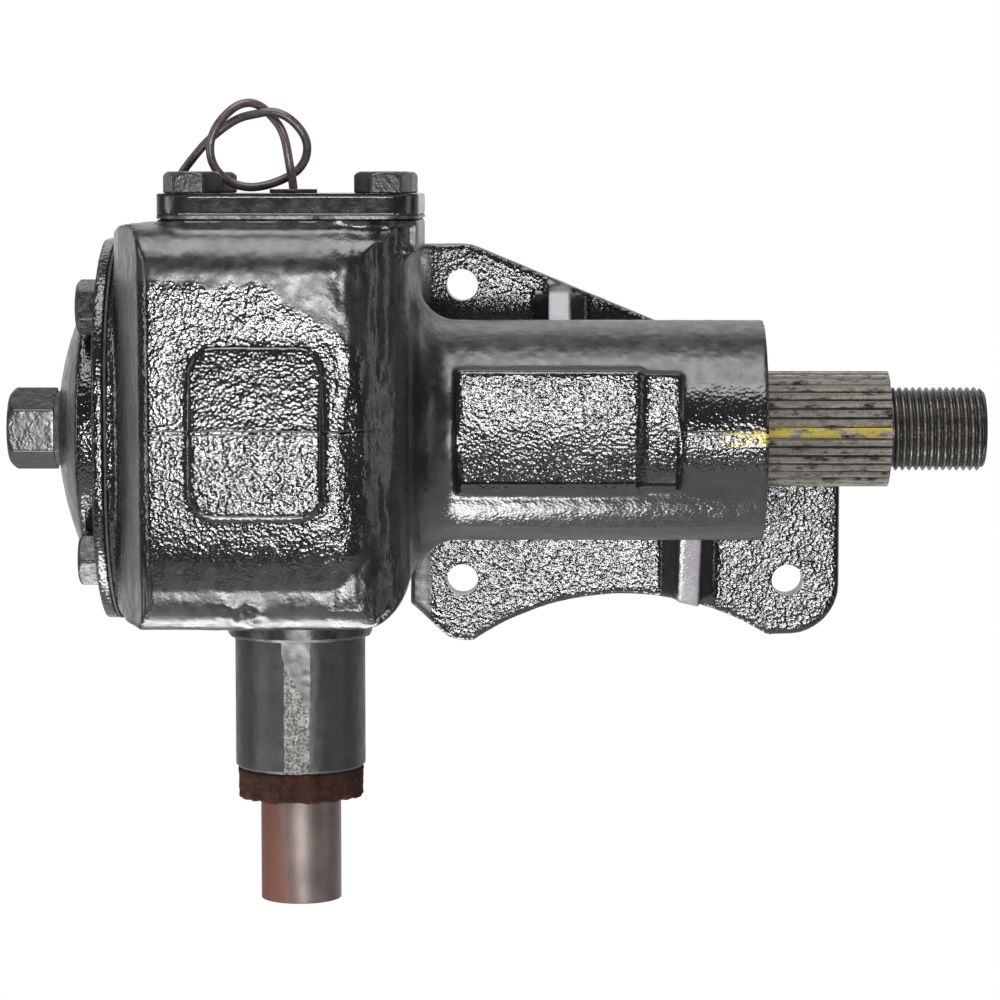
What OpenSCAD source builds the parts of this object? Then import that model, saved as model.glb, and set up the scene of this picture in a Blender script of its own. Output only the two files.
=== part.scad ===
// Manual steering gear with an hourglass worm and a roller, in a cast housing.
// The origin lies on the flange's mounting face, behind the sector shaft, in line with the two inboard holes.
// +X runs along the sector shaft to its serrated end, +Y points out of the mounting face, +Z is up.

/* [Layout] */
// Height of the sector shaft's axis above the mounting face
sector_standoff = 50; // [49:0.5:56]
// Distance between the worm's axis and the sector shaft's axis
centre_distance = 46; // [45.5:0.25:47]
// Distance from the worm's axis to the inboard column of flange holes
worm_to_holes = 39.4; // [38:0.2:42]

/* [Mounting flange] */
// Thickness of the flange plate
flange_t = 10; // [8:0.5:12]
// Diameter of the flange holes
flange_hole_d = 8.8; // [7:0.1:10.5]
// Height of the upper hole above the sector shaft's axis
upper_hole_z = 37; // [36:0.5:40]
// Distance between the two inboard holes
hole_spacing_z = 82.5; // [81:0.5:86]
// Distance between the two lower holes
hole_spacing_x = 91; // [86:1:96]
// Thickness of each gusset between tube and flange
gusset_t = 6.5; // [5:0.5:9]

/* [Housing] */
// Reach of the body from the worm's axis towards the sector tube
body_right = 28.9; // [27.5:0.1:31]
// Reach of the body from the worm's axis towards the side cover
body_left = 37.1; // [36:0.1:40]
// Reach of the body in front of the worm's axis
body_front = 36; // [35:0.5:40]
// Height of the machined top face above the sector shaft's axis
body_top = 56.6; // [55:0.2:60]
// Depth of the body below the sector shaft's axis
body_bottom = 44.6; // [44:0.2:48]
// Radius of the drum around the sector shaft's head
drum_r = 44; // [42:0.5:45]
// Distance from the worm's axis to the machined side face
side_face = 48.6; // [48:0.2:54]
// Half the width of the side flange
side_flange_half = 50; // [48:0.5:54]
// Corner radius of the side flange
side_flange_corner = 36.5; // [34:0.5:38]
// Height of the side flange's middle above the sector shaft's axis
side_raise = 1; // [0:0.25:1.5]
// Diameter of the sector tube
tube_d = 58.8; // [57:0.2:62]
// Distance from the inboard holes to the end of the sector tube
tube_reach = 81; // [78:0.2:86]
// Height of the pad on the body's front
front_pad_raise = 2.6; // [1.5:0.1:4]

/* [Neck] */
// Diameter of the collar under the body
collar_d = 36.7; // [35:0.1:40]
// Height of the collar
collar_h = 4.6; // [3:0.2:6]
// Diameter of the neck that the column jacket slides over
neck_d = 33.1; // [31.5:0.1:34]
// Length of the neck below the collar
neck_l = 33.8; // [28:0.2:40]
// Width of the keyway in the neck
key_w = 6.6; // [4:0.2:8]
// Depth of the keyway in the neck
key_depth = 1.8; // [1:0.1:2.2]
// Height of the dust seal under the neck
dust_seal_h = 7.6; // [4:0.2:9]

/* [Covers] */
// Thickness of the end cover's plate
end_cover_t = 5.4; // [4.5:0.1:8]
// Width of the end cover, across the sector shaft's direction of view
end_cover_w = 64.6; // [64:0.2:68]
// Depth of the end cover, towards the mounting face
end_cover_d = 60; // [59:0.5:63]
// Thickness of the shim pack under the end cover
shim_t = 0.8; // [0.4:0.1:1.2]
// Thickness of the side cover's flange
side_cover_t = 3.2; // [2.8:0.1:5]
// Thickness of the side cover's gasket
gasket_t = 0.6; // [0.4:0.1:1]
// Height of the side cover's dome above its flange
dome_h = 13.6; // [12:0.2:16]
// Radius of the side cover's dome at its foot
dome_r = 37; // [36:0.5:37.5]

/* [Fasteners] */
// Width across flats of the cover bolts' heads
bolt_af = 12.7; // [12:0.1:13]
// Height of the cover bolts' heads
bolt_head_h = 5.4; // [5:0.1:6.5]
// Diameter of the cover bolts
bolt_d = 7.9; // [7:0.1:8]
// Length of the cover bolts under the head
bolt_l = 17; // [15:0.5:19]
// Half the distance between the side cover's bolts
side_bolt_half = 32.5; // [32:0.25:33]
// Half the distance between the end cover's bolts along its width
end_bolt_half_w = 23.5; // [23:0.25:24.5]
// Half the distance between the end cover's bolts along its depth
end_bolt_half_d = 21; // [20.5:0.25:22]
// Width across flats of the adjuster's cap nut
cap_nut_af = 19.05; // [18:0.05:22]
// Length of the adjuster's cap nut
cap_nut_l = 12.6; // [11:0.2:16]
// Thickness of the sealing washer under the cap nut
cap_washer_t = 1.7; // [1:0.1:2.5]
// Diameter of the adjuster screw
adjuster_d = 12.7; // [11:0.1:13]

/* [Steering shaft] */
// Diameter of the steering shaft's end
steering_d = 20.5; // [18.5:0.1:20.8]
// Length of the steering shaft below the dust seal
steering_stub = 26.4; // [20:0.2:60]
// Diameter of the steering shaft where it carries the worm
worm_seat_d = 17; // [16:0.1:17.4]
// Diameter of the steering shaft's bore
shaft_bore_d = 10.4; // [9.6:0.1:11]
// Diameter of the horn tube in the steering shaft
horn_tube_d = 8; // [7:0.1:8.4]
// Wall of the horn tube
horn_tube_wall = 0.8; // [0.6:0.1:1]

/* [Worm and roller] */
// Turns of the steering shaft for one turn of the sector shaft
gear_ratio = 18; // [17:0.5:19]
// Distance from the sector shaft's axis to the foot of the worm's thread, at mid-travel
thread_root = 35; // [34.8:0.1:35.4]
// Distance from the sector shaft's axis to the crest of the worm's thread, at mid-travel
thread_crest = 29; // [28.8:0.1:29.2]
// Largest diameter of the worm
worm_d = 46; // [44:0.5:47]
// Distance from the sector shaft's axis to the roller's pin
pin_throw = 18.5; // [18:0.25:19]
// Diameter of the roller's pin
pin_d = 10; // [9:0.25:10]
// Height of the roller
roller_h = 18; // [17.6:0.1:18.2]
// Tilt of the roller's pin that follows the worm's thread
pin_tilt = 5; // [4:0.5:6]

/* [Sector shaft] */
// Diameter of the sector shaft's journal
journal_d = 31; // [30:0.1:32]
// Diameter of the sector shaft's head
head_d = 56; // [55:0.5:56.6]
// Outer diameter of the serrations
serration_d = 30.8; // [29:0.1:31]
// Length of the serrations
serration_l = 33.2; // [28:0.2:40]
// Depth of the serrations
serration_depth = 1; // [0.6:0.1:1.4]
// Outer diameter of the nut thread
thread_d = 22.2; // [19:0.1:24]
// Pitch of the nut thread
thread_pitch = 1.8; // [1.2:0.1:2.4]
// Length of the nut thread
thread_l = 24.6; // [20:0.2:34]
// Wall of the sector shaft's bushings
bushing_wall = 2; // [1.5:0.1:2.5]

/* [Bearings] */
// Outer diameter of the bearing cups
cup_d = 50; // [49.5:0.1:50.6]
// Height of each worm bearing
bearing_h = 11.5; // [11:0.25:12]
// Radius of the bearing rollers' ring at mid-height
roller_ring_r = 17.5; // [17.2:0.1:17.8]
// Diameter of the bearing rollers
bearing_roller_d = 5.4; // [5:0.1:5.6]
// Number of rollers in each bearing
bearing_rollers_n = 14; // [10:1:15]
// Slope of the bearing's races
race_slope = 12; // [8:1:14]

/* [Horn wire] */
// Diameter of the horn wire
wire_d = 2.2; // [1.8:0.1:2.6]

/* [Hidden] */
$fn = 64;

// Clearances
fit = 0.03;       // seat between pieces that stay together
running = 0.06;   // turning fit between shaft and bush
cut = 0.5;        // how far a cutting shape passes through a face
gap = 0.3;        // free space between pieces that move past each other

// Axes
sector_y = -sector_standoff;
worm_x = -worm_to_holes;
worm_y = sector_y - centre_distance;

// Housing faces
side_x = worm_x - side_face;
wall_x = worm_x + body_right;
front_y = worm_y - body_front;
rear_y = sector_y + drum_r;
land_h = 1.4;
block_top = body_top - land_h;
top_edge_r = 8;
top_front_r = 12;
top_side_r = 7;
bottom_left_r = 8;
bottom_right_r = 14;
front_corner_r = 16;
left_bevel = 2.5;
end_cover_shift = -1;
side_flange_t = 3.6;
tube_r = tube_d / 2;
tube_drop = 0.4;
root_fillet = 10;
top_flange_t = 8;
top_corner_r = 9;
bulge_x = worm_x - body_left;
shoulder_y = worm_y + cup_d / 2 + 13;
slope_angle = 60;
side_bolt_turn = 19;
side_bolt_spread = 11;
end_bolt_turn = 7;
end_bolt_spread = 4;

// Flange outline
lower_hole_z = upper_hole_z - hole_spacing_z;
upper_ear_r = 11.4;
lower_ear_r = 14.4;
lower_ear_drop = 0.8;
tip_r = 5.3;
tip_drop = 11.9;
tip_run = 4.3;
arch_r = 75;
arch_x = hole_spacing_x / 2;
arch_top_z = lower_hole_z - 3.9;
upper_gusset_x = 27;
lower_gusset_x = 63;
plate_left = wall_x - 4;
slope_end = [54, 27];
shoulder_back = 3;
shoulder_z = 12;
right_corner = [6, 9];
right_corner_z = -5;
ear_slope = 22;

// Cavities
head_r = head_d / 2;
roller_reach = thread_root - 0.5;
cavity_r = roller_reach + 1.5;
cavity_reach = 23.5;
cavity_end_x = worm_x + cavity_reach;
bore_r = journal_d / 2 + bushing_wall;
seal_bore_r = bore_r + 4;
seal_l = 8;
cup_r = cup_d / 2;
worm_reach = 46;
worm_half = max(thread_root, (centre_distance - worm_d / 2) / cos(worm_reach)) * sin(worm_reach) + gap;
bearing_play = 0.5;
bearing_z = worm_half + bearing_play + bearing_h / 2;
cup_seat_z = -(bearing_z + bearing_h / 2);
neck_bore_r = 13;

// Neck and shaft levels
collar_z = -(body_bottom + collar_h);
neck_z = collar_z - neck_l;
dust_seal_z = neck_z - dust_seal_h;
steering_end_z = dust_seal_z - steering_stub;
land_r = steering_d / 2 + 0.5;
shaft_top_z = bearing_z + bearing_h / 2 + 6;

// Covers
shim_top = body_top + shim_t;
cover_top = shim_top + end_cover_t;
gasket_x = side_x - gasket_t;
cover_face_x = gasket_x - side_cover_t;
dome_top_x = cover_face_x - dome_h;
dome_sphere_r = 82;
dome_flat_drop = 1;
dome_wall = 4.5;
bolt_r = bolt_d / 2;
bolt_hole_r = bolt_r + running;
bolt_clear_r = bolt_r + 0.3;
cap_washer_x = dome_top_x - cap_washer_t;
cap_nut_x = cap_washer_x - cap_nut_l;

// Sector shaft
head_reach = 28.6;
head_play = 1.5;
head_left_x = worm_x - head_reach;
head_right_x = cavity_end_x - head_play;
slot_lip = 2.5;
adjuster_head_h = 4.8;
adjuster_head_r = adjuster_d / 2 + 3;
serration_n = 36;
serration_x = tube_reach + serration_l;
undercut_l = 1;
thread_x = serration_x + undercut_l;
sector_end_x = thread_x + thread_l;
thread_depth = 0.6 * thread_pitch;

// Worm thread
pitch_angle = 360 / gear_ratio;
pitch_throw = (thread_root + thread_crest) / 2;
flank = 20;
tooth_half = 2.3;
thread_gap = 0.5;
worm_steps = 48;
worm_turns = 8;
worm_bore_r = worm_seat_d / 2 + running;
crest_half = asin((tooth_half + thread_gap + pitch_throw * tan(flank)) / thread_crest - tan(flank));
floor_half = asin((tooth_half + thread_gap + pitch_throw * tan(flank)) / thread_root - tan(flank));

// Bearings
cone_bore_r = worm_seat_d / 2 + fit;
bearing_roller_r = bearing_roller_d / 2;
bearing_roller_l = bearing_h - 3.6;
race_offset = (bearing_roller_r + fit) / cos(race_slope);
race_taper = tan(race_slope) * bearing_h / 2;
cage_t = 1;

// Wire route above the end cover, from the ferrule to the terminal
wire_r = wire_d / 2;
ferrule_h = 1;
WIRE = [
    [-40.5, -96, 63.8], [-40.8, -96.3, 66.5], [-41.3, -97, 69.5], [-42.3, -97.5, 75.5],
    [-43.6, -96.5, 79], [-45.4, -95.5, 81.4], [-46.9, -94.5, 82.9], [-48.5, -94.5, 84.4],
    [-51.3, -95.5, 85.4], [-54.5, -97, 84.6], [-57.5, -98, 82.1], [-59.8, -98.5, 79],
    [-61.1, -98.5, 75.4], [-61.1, -98, 72], [-60.1, -97.5, 69.2], [-58, -97, 66.7], [-55.5, -96.5, 65.1],
    [-51.9, -96, 64.3], [-48.3, -95, 64.6], [-44.9, -94, 65.6], [-41.9, -93.5, 67], [-39.3, -94, 68.8],
    [-37.5, -95, 71.5], [-37, -96, 74.6], [-37.8, -97, 77.4], [-39.9, -97.5, 80.2], [-42.8, -97.8, 82.3],
    [-46.1, -97.5, 83.1], [-49.7, -96.8, 82.6], [-53.9, -95.8, 81.6], [-57.8, -95, 79.4],
    [-62, -94.5, 76], [-64.8, -94, 73], [-67.3, -93.4, 70], [-68.8, -92.6, 68], [-69.8, -91.4, 66.2],
    [-70.3, -89.6, 65], [-70.4, -87.6, 64.6]
];
wire_sides = 8;
terminal_r = 1.7;
terminal_l = 8.6;

// Shared shapes

// Round bar along the sector shaft's axis
module rod_x(x0, x1, r) {
    translate([x0, sector_y, 0]) rotate([0, 90, 0]) cylinder(h = x1 - x0, r = r);
}

// Round bar along the worm's axis
module rod_z(z0, z1, r) {
    translate([worm_x, worm_y, z0]) cylinder(h = z1 - z0, r = r);
}

// Rectangle with round corners about its middle
module rounded_rect(w, h, r) {
    square([w - 2 * r, h], center = true);
    square([w, h - 2 * r], center = true);
    for (sx = [-1, 1], sy = [-1, 1])
        translate([sx * (w / 2 - r), sy * (h / 2 - r)]) circle(r);
}

// Plate across the sector shaft's axis, from x0 to x1, with the side flange's outline
module side_plate(x0, x1) {
    translate([x0, sector_y, side_raise])
        rotate([90, 0, 90])
            linear_extrude(x1 - x0)
                rounded_rect(2 * side_flange_half, 2 * side_flange_half, side_flange_corner);
}

// Plate across the worm's axis, from z0 to z1, with the end cover's outline
module end_plate(z0, z1) {
    translate([worm_x + end_cover_shift, worm_y, z0])
        linear_extrude(z1 - z0)
            rounded_rect(end_cover_w, end_cover_d, top_corner_r);
}

// Places for the side cover's four bolts, with the head's side along +Z and each bolt's own turn
module at_side_bolts(x) {
    for (sy = [-1, 1], sz = [-1, 1])
        translate([x, sector_y + sy * side_bolt_half, side_raise + sz * side_bolt_half])
            rotate([0, -90, 0])
                rotate([0, 0, side_bolt_turn + side_bolt_spread * sz * sy]) children();
}

// Places for the end cover's four bolts, with the head's side along +Z and each bolt's own turn
module at_end_bolts(z) {
    for (sx = [-1, 1], sy = [-1, 1])
        translate([worm_x + end_cover_shift + sx * end_bolt_half_w, worm_y + sy * end_bolt_half_d, z])
            rotate([0, 0, end_bolt_turn * (1 + sx) + end_bolt_spread * sy]) children();
}

// Hexagonal prism with a chamfered end
module hex_head(af, h) {
    corner_r = af / 2 / cos(30);
    chamfer = (corner_r - af / 2) * 1.2;
    intersection() {
        cylinder(h = h, r = corner_r, $fn = 6);
        union() {
            cylinder(h = h - chamfer, r = corner_r + 1);
            translate([0, 0, h - chamfer]) cylinder(h = chamfer, r1 = corner_r + 0.2, r2 = af / 2 - 0.3);
        }
    }
}

// Hex bolt with its head's seat at the origin
module hex_bolt() {
    hex_head(bolt_af, bolt_head_h);
    translate([0, 0, -bolt_l]) cylinder(h = bolt_l, r = bolt_r);
}

// Housing

// Body's outline seen along the sector shaft
module body_side_outline() {
    low = -body_bottom;
    tangent = [sector_y + drum_r * cos(slope_angle), drum_r * sin(slope_angle)];
    hull() {
        translate([front_y + top_front_r, block_top - top_front_r]) circle(top_front_r);
        translate([front_y + top_edge_r, low + top_edge_r]) circle(top_edge_r);
        translate([shoulder_y - top_edge_r, low + top_edge_r]) circle(top_edge_r);
        translate([shoulder_y - top_edge_r, block_top - top_edge_r]) circle(top_edge_r);
    }
    translate([sector_y, 0]) circle(drum_r);
    polygon([
        [worm_y, block_top], [shoulder_y, block_top], tangent,
        [sector_y, -drum_r], [shoulder_y - top_edge_r, low], [worm_y, low]
    ]);
}

// Body's outline seen from above
module body_top_outline() {
    width = wall_x - bulge_x;
    depth = rear_y - front_y;
    slope_y = sector_y - side_flange_half + 3;
    translate([bulge_x + width / 2, front_y + depth / 2]) rounded_rect(width, depth, front_corner_r);
    polygon([
        [side_x + 2, rear_y], [side_x + 2, slope_y], [bulge_x, front_y + left_bevel],
        [bulge_x + left_bevel, front_y], [worm_x, front_y], [worm_x, rear_y]
    ]);
}

// Body's outline seen from the front
module body_front_outline() {
    low = -body_bottom;
    hull() {
        translate([side_x + top_side_r, block_top - top_side_r]) circle(top_side_r);
        translate([wall_x - top_edge_r, block_top - top_edge_r]) circle(top_edge_r);
        translate([side_x + bottom_left_r, low + bottom_left_r]) circle(bottom_left_r);
        translate([wall_x - bottom_right_r, low + bottom_right_r]) circle(bottom_right_r);
    }
}

// Body without its flanges
module body_block() {
    intersection() {
        translate([side_x, 0, 0]) rotate([90, 0, 90]) linear_extrude(wall_x - side_x) body_side_outline();
        translate([0, 0, -body_bottom]) linear_extrude(block_top + body_bottom) body_top_outline();
        translate([0, rear_y, 0]) rotate([90, 0, 0]) linear_extrude(rear_y - front_y) body_front_outline();
    }
}

// Tube around the sector shaft with a fillet at its root
module sector_tube() {
    translate([0, 0, -tube_drop]) rod_x(wall_x - 2, tube_reach, tube_r);
    translate([wall_x, sector_y, -tube_drop])
        rotate([0, 90, 0])
            rotate_extrude()
                translate([tube_r, 0])
                    difference() {
                        translate([-1, 0]) square([root_fillet + 1, root_fillet]);
                        translate([root_fillet, root_fillet]) circle(root_fillet);
                    }
}

// Outline of the mounting flange seen from the front
module flange_outline() {
    ear_tangent = [upper_ear_r * sin(ear_slope), upper_hole_z + upper_ear_r * cos(ear_slope)];
    right_x = hole_spacing_x + lower_ear_r;
    ear_z = lower_hole_z - lower_ear_drop;
    tip_z = lower_hole_z - tip_drop;
    difference() {
        union() {
            translate([0, upper_hole_z]) circle(upper_ear_r);
            translate([0, tip_z]) circle(tip_r);
            translate([hole_spacing_x, ear_z]) circle(lower_ear_r);
            polygon([
                [plate_left, upper_hole_z + upper_ear_r], [0, upper_hole_z + upper_ear_r], ear_tangent,
                slope_end, [tube_reach - shoulder_back, shoulder_z],
                [right_x - right_corner[0], right_corner_z + right_corner[1]], [right_x, right_corner_z],
                [right_x, ear_z], [hole_spacing_x, ear_z - lower_ear_r],
                [0, tip_z - tip_r], [-tip_run, tip_z - tip_run + 0.2],
                [plate_left, lower_hole_z - lower_ear_r * 0.45]
            ]);
        }
        translate([arch_x, arch_top_z - arch_r]) circle(arch_r);
    }
}

// Mounting flange with its web and gussets to the sector tube
module mounting_flange() {
    web_half = 20;
    web_back = 4;
    web_inset = 1;
    gusset_front = sector_y + 12;
    gusset_sink = 3;
    rotate([90, 0, 0]) linear_extrude(flange_t) flange_outline();
    translate([plate_left, sector_y, -web_half])
        cube([tube_reach - web_back - plate_left, sector_standoff - web_inset, 2 * web_half]);
    intersection() {
        rotate([90, 0, 0]) linear_extrude(-gusset_front) flange_outline();
        union() {
            translate([upper_gusset_x - gusset_t / 2, 0, 0])
                rotate([90, 0, 90])
                    linear_extrude(gusset_t)
                        polygon([
                            [-web_inset, 0], [-web_inset, upper_hole_z], [-flange_t - web_inset, upper_hole_z],
                            [gusset_front, tube_r - gusset_sink], [gusset_front, 0]
                        ]);
            translate([lower_gusset_x - gusset_t / 2, 0, 0])
                rotate([90, 0, 90])
                    linear_extrude(gusset_t)
                        polygon([
                            [-web_inset, 0], [-web_inset, lower_hole_z - lower_ear_r],
                            [-flange_t - web_inset, lower_hole_z - lower_ear_r],
                            [gusset_front, gusset_sink - tube_r], [gusset_front, 0]
                        ]);
        }
    }
}

// Raised pads on the body's front and on the tube
module pads() {
    pad_w = 32;
    pad_h = 41;
    pad_z = 5;
    pad_x = worm_x - 8;
    tube_pad_l = 47.7;
    tube_step_l = 10.3;
    tube_pad_low = -15.4;
    tube_pad_h = 32.7;
    pad_corner_r = 6;
    tube_pad_raise = 2;
    tube_step_raise = 0.7;
    tube_step_in = 1;
    translate([pad_x, worm_y, pad_z])
        rotate([90, 0, 0])
            linear_extrude(body_front + front_pad_raise)
                rounded_rect(pad_w, pad_h, pad_corner_r);
    translate([0, sector_y - tube_r - tube_pad_raise, tube_pad_low]) cube([tube_pad_l, tube_r, tube_pad_h]);
    translate([0, sector_y - tube_r - tube_step_raise, tube_pad_low + tube_step_in])
        cube([tube_pad_l + tube_step_l, tube_r, tube_pad_h - 2 * tube_step_in]);
}

module housing() {
    boss_r = 8.6;
    color("#1b1c1f")
        difference() {
            union() {
                body_block();
                side_plate(side_x, side_x + side_flange_t);
                end_plate(body_top - top_flange_t, body_top);
                at_side_bolts(side_x) translate([0, 0, -bolt_l - 2]) cylinder(h = bolt_l + 2, r = boss_r);
                sector_tube();
                mounting_flange();
                pads();
                rod_z(collar_z, -body_bottom + top_edge_r, collar_d / 2);
                rod_z(neck_z, collar_z, neck_d / 2);
            }
            rod_x(side_x - cut, cavity_end_x, cavity_r);
            rod_x(cavity_end_x - cut, tube_reach + cut, bore_r + fit);
            rod_x(tube_reach - seal_l, tube_reach + cut, seal_bore_r + fit);
            rod_z(cup_seat_z, body_top + cut, cup_r + fit);
            rod_z(neck_z - cut, cup_seat_z + cut, neck_bore_r + fit);
            translate([worm_x - key_w / 2, worm_y - neck_d / 2 - cut, neck_z - cut])
                cube([key_w, key_depth + cut, neck_l + cut]);
            at_side_bolts(side_x) translate([0, 0, -bolt_l]) cylinder(h = bolt_l + cut, r = bolt_hole_r);
            at_end_bolts(body_top) translate([0, 0, -bolt_l]) cylinder(h = bolt_l + cut, r = bolt_hole_r);
            for (place = [[0, upper_hole_z], [0, lower_hole_z], [hole_spacing_x, lower_hole_z]])
                translate([place[0], cut, place[1]])
                    rotate([90, 0, 0])
                        cylinder(h = flange_t + 2 * cut, r = flange_hole_d / 2);
        }
}

// Side cover and adjuster

// Half section of the side cover's dome, as radius and height above the flange's outer face
module dome_section(r, top, sphere_r, low) {
    intersection() {
        translate([0, top + dome_flat_drop - sphere_r]) circle(sphere_r, $fn = 128);
        translate([0, low]) square([r, top - low]);
    }
}

module side_cover() {
    boss_r = adjuster_d / 2 + 4;
    color("#222326")
        difference() {
            union() {
                side_plate(cover_face_x, gasket_x);
                translate([cover_face_x, sector_y, 0])
                    rotate([0, -90, 0])
                        rotate_extrude() dome_section(dome_r, dome_h, dome_sphere_r, -side_cover_t / 2);
            }
            difference() {
                translate([cover_face_x, sector_y, 0])
                    rotate([0, -90, 0])
                        rotate_extrude()
                            dome_section(dome_r - dome_wall, dome_h - dome_wall, dome_sphere_r, -side_cover_t - cut);
                rod_x(dome_top_x, gasket_x, boss_r);
            }
            rod_x(dome_top_x - cut, gasket_x + cut, adjuster_d / 2 + running);
            at_side_bolts(gasket_x + cut) cylinder(h = side_cover_t + 2 * cut, r = bolt_clear_r);
        }
}

module side_cover_gasket() {
    color("#3a2f28")
        difference() {
            side_plate(gasket_x, side_x);
            rod_x(gasket_x - cut, side_x + cut, cavity_r);
            at_side_bolts(side_x + cut) cylinder(h = gasket_t + 2 * cut, r = bolt_clear_r);
        }
}

module side_cover_bolts() {
    color("#2a2b2d") at_side_bolts(cover_face_x) hex_bolt();
}

module adjuster_screw() {
    slot_w = 2;
    slot_depth = 2.5;
    screw_end_x = cap_nut_x + 3;
    head_x = head_left_x + slot_lip + gap;
    color("#77797c")
        difference() {
            union() {
                rod_x(screw_end_x, head_x + adjuster_head_h, adjuster_d / 2);
                rod_x(head_x, head_x + adjuster_head_h, adjuster_head_r);
            }
            translate([screw_end_x - cut, sector_y - adjuster_d, -slot_w / 2])
                cube([slot_depth + cut, 2 * adjuster_d, slot_w]);
        }
}

module adjuster_washer() {
    color("#8a6a45")
        difference() {
            rod_x(cap_washer_x, dome_top_x, cap_nut_af / 2 + 0.4);
            rod_x(cap_washer_x - cut, dome_top_x + cut, adjuster_d / 2 + running);
        }
}

module adjuster_cap_nut() {
    color("#303236")
        difference() {
            translate([cap_washer_x, sector_y, 0]) rotate([0, -90, 0]) hex_head(cap_nut_af, cap_nut_l);
            rod_x(cap_nut_x + 2.4, cap_washer_x + cut, adjuster_d / 2 + running);
        }
}

// End cover and horn wire

module end_cover() {
    spigot_z = bearing_z + bearing_h / 2;
    spigot_bore_r = cup_r - 8;
    spigot_roof = shim_top - 3;
    color("#242528")
        difference() {
            union() {
                end_plate(shim_top, cover_top);
                rod_z(spigot_z, shim_top + cut, cup_r - running);
            }
            rod_z(spigot_z - cut, spigot_roof, spigot_bore_r);
            rod_z(spigot_roof - cut, cover_top + cut, horn_tube_d / 2 + fit);
            at_end_bolts(shim_top - cut) cylinder(h = end_cover_t + 2 * cut, r = bolt_clear_r);
        }
}

module end_cover_shims() {
    color("#85807a")
        difference() {
            end_plate(body_top, shim_top);
            rod_z(body_top - cut, shim_top + cut, cup_r + fit);
            at_end_bolts(body_top - cut) cylinder(h = shim_t + 2 * cut, r = bolt_clear_r);
        }
}

module end_cover_bolts() {
    color("#2a2b2d") at_end_bolts(cover_top) hex_bolt();
}

module horn_tube() {
    color("#8c8f93")
        difference() {
            rod_z(steering_end_z + 1, cover_top, horn_tube_d / 2);
            rod_z(steering_end_z, cover_top + cut, horn_tube_d / 2 - horn_tube_wall);
        }
}

module horn_tube_ferrule() {
    ferrule_r = 6;
    color("#2d2a2a")
        translate([WIRE[0][0], WIRE[0][1], cover_top])
            difference() {
                cylinder(h = ferrule_h, r = ferrule_r);
                translate([0, 0, -cut]) cylinder(h = ferrule_h + 2 * cut, r = wire_r + fit);
            }
}

module horn_wire_inner() {
    color("#3a2224")
        translate([WIRE[0][0], WIRE[0][1], steering_end_z + 1])
            cylinder(h = WIRE[0][2] - steering_end_z - 1, r = wire_r);
}

function unit(v) = v / norm(v);

// Direction of the wire at point i of its route
function wire_along(i) =
    i == 0 ? [0, 0, 1]
    : i == len(WIRE) - 1 ? [0, 1, 0]
    : unit(WIRE[i + 1] - WIRE[i - 1]);

// Sideways direction at point i, carried along the route without twist
function wire_side(i) =
    i == 0 ? [1, 0, 0]
    : let (before = wire_side(i - 1), along = wire_along(i)) unit(before - (before * along) * along);

// Ring of points around the wire at point i of its route
function wire_ring(i) =
    let (side = wire_side(i), other = cross(wire_along(i), side))
        [for (k = [0:wire_sides - 1])
            WIRE[i] + wire_r * (cos(360 * k / wire_sides) * side + sin(360 * k / wire_sides) * other)];

module horn_wire() {
    n = len(WIRE);
    rings = [for (i = [0:n - 1]) wire_ring(i)];
    points = [for (ring = rings, p = ring) p];
    first_end = [for (k = [0:wire_sides - 1]) k];
    last_end = [for (k = [wire_sides - 1:-1:0]) (n - 1) * wire_sides + k];
    skin = [
        for (i = [0:n - 2], k = [0:wire_sides - 1])
            let (a = i * wire_sides + k, b = i * wire_sides + (k + 1) % wire_sides)
                each [[a, a + wire_sides, b], [b, a + wire_sides, b + wire_sides]]
    ];
    color("#3a2224") polyhedron(points, concat([first_end, last_end], skin), convexity = 10);
}

module horn_wire_terminal() {
    color("#9a9b98")
        translate(WIRE[len(WIRE) - 1])
            rotate([-90, 0, 0]) {
                cylinder(h = terminal_l * 0.6, r = terminal_r);
                translate([0, 0, terminal_l * 0.6]) cylinder(h = terminal_l * 0.4, r1 = terminal_r, r2 = 0.8);
            }
}

// Steering shaft

module neck_dust_seal() {
    color("#5b2a22")
        difference() {
            rod_z(dust_seal_z, neck_z, neck_d / 2 - 0.6);
            rod_z(dust_seal_z - cut, neck_z + cut, land_r + running);
        }
}

module steering_shaft_bushing() {
    bush_l = 14;
    color("#b08d4f")
        difference() {
            rod_z(neck_z, neck_z + bush_l, neck_bore_r);
            rod_z(neck_z - cut, neck_z + bush_l + cut, land_r + running);
        }
}

module steering_shaft() {
    color("#7d7471")
        difference() {
            union() {
                rod_z(steering_end_z, dust_seal_z, steering_d / 2);
                rod_z(dust_seal_z, cup_seat_z, land_r);
                rod_z(cup_seat_z, shaft_top_z, worm_seat_d / 2);
            }
            rod_z(steering_end_z - cut, shaft_top_z + cut, shaft_bore_d / 2);
        }
}

// Angle of corner j of the thread in a column of the worm, seen from the sector shaft's axis
function corner_angle(column, j) =
    let (offsets = [-crest_half, -floor_half, floor_half, crest_half])
        pitch_angle * (1 / 4 + column / worm_steps + floor(j / 4) - worm_turns / 2) + offsets[j % 4];

// Distance of the thread's surface from the sector shaft's axis at an angle in a column
function thread_throw(column, angle) =
    let (
        turn = angle - pitch_angle / 4 - pitch_angle * column / worm_steps,
        off = abs(turn - pitch_angle * round(turn / pitch_angle)),
        slope_line = (tooth_half + thread_gap + pitch_throw * tan(flank)) / (sin(off) + tan(flank)),
        thread = min(thread_root, max(thread_crest, slope_line))
    ) max(thread, (centre_distance - worm_d / 2) / cos(angle));

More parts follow.
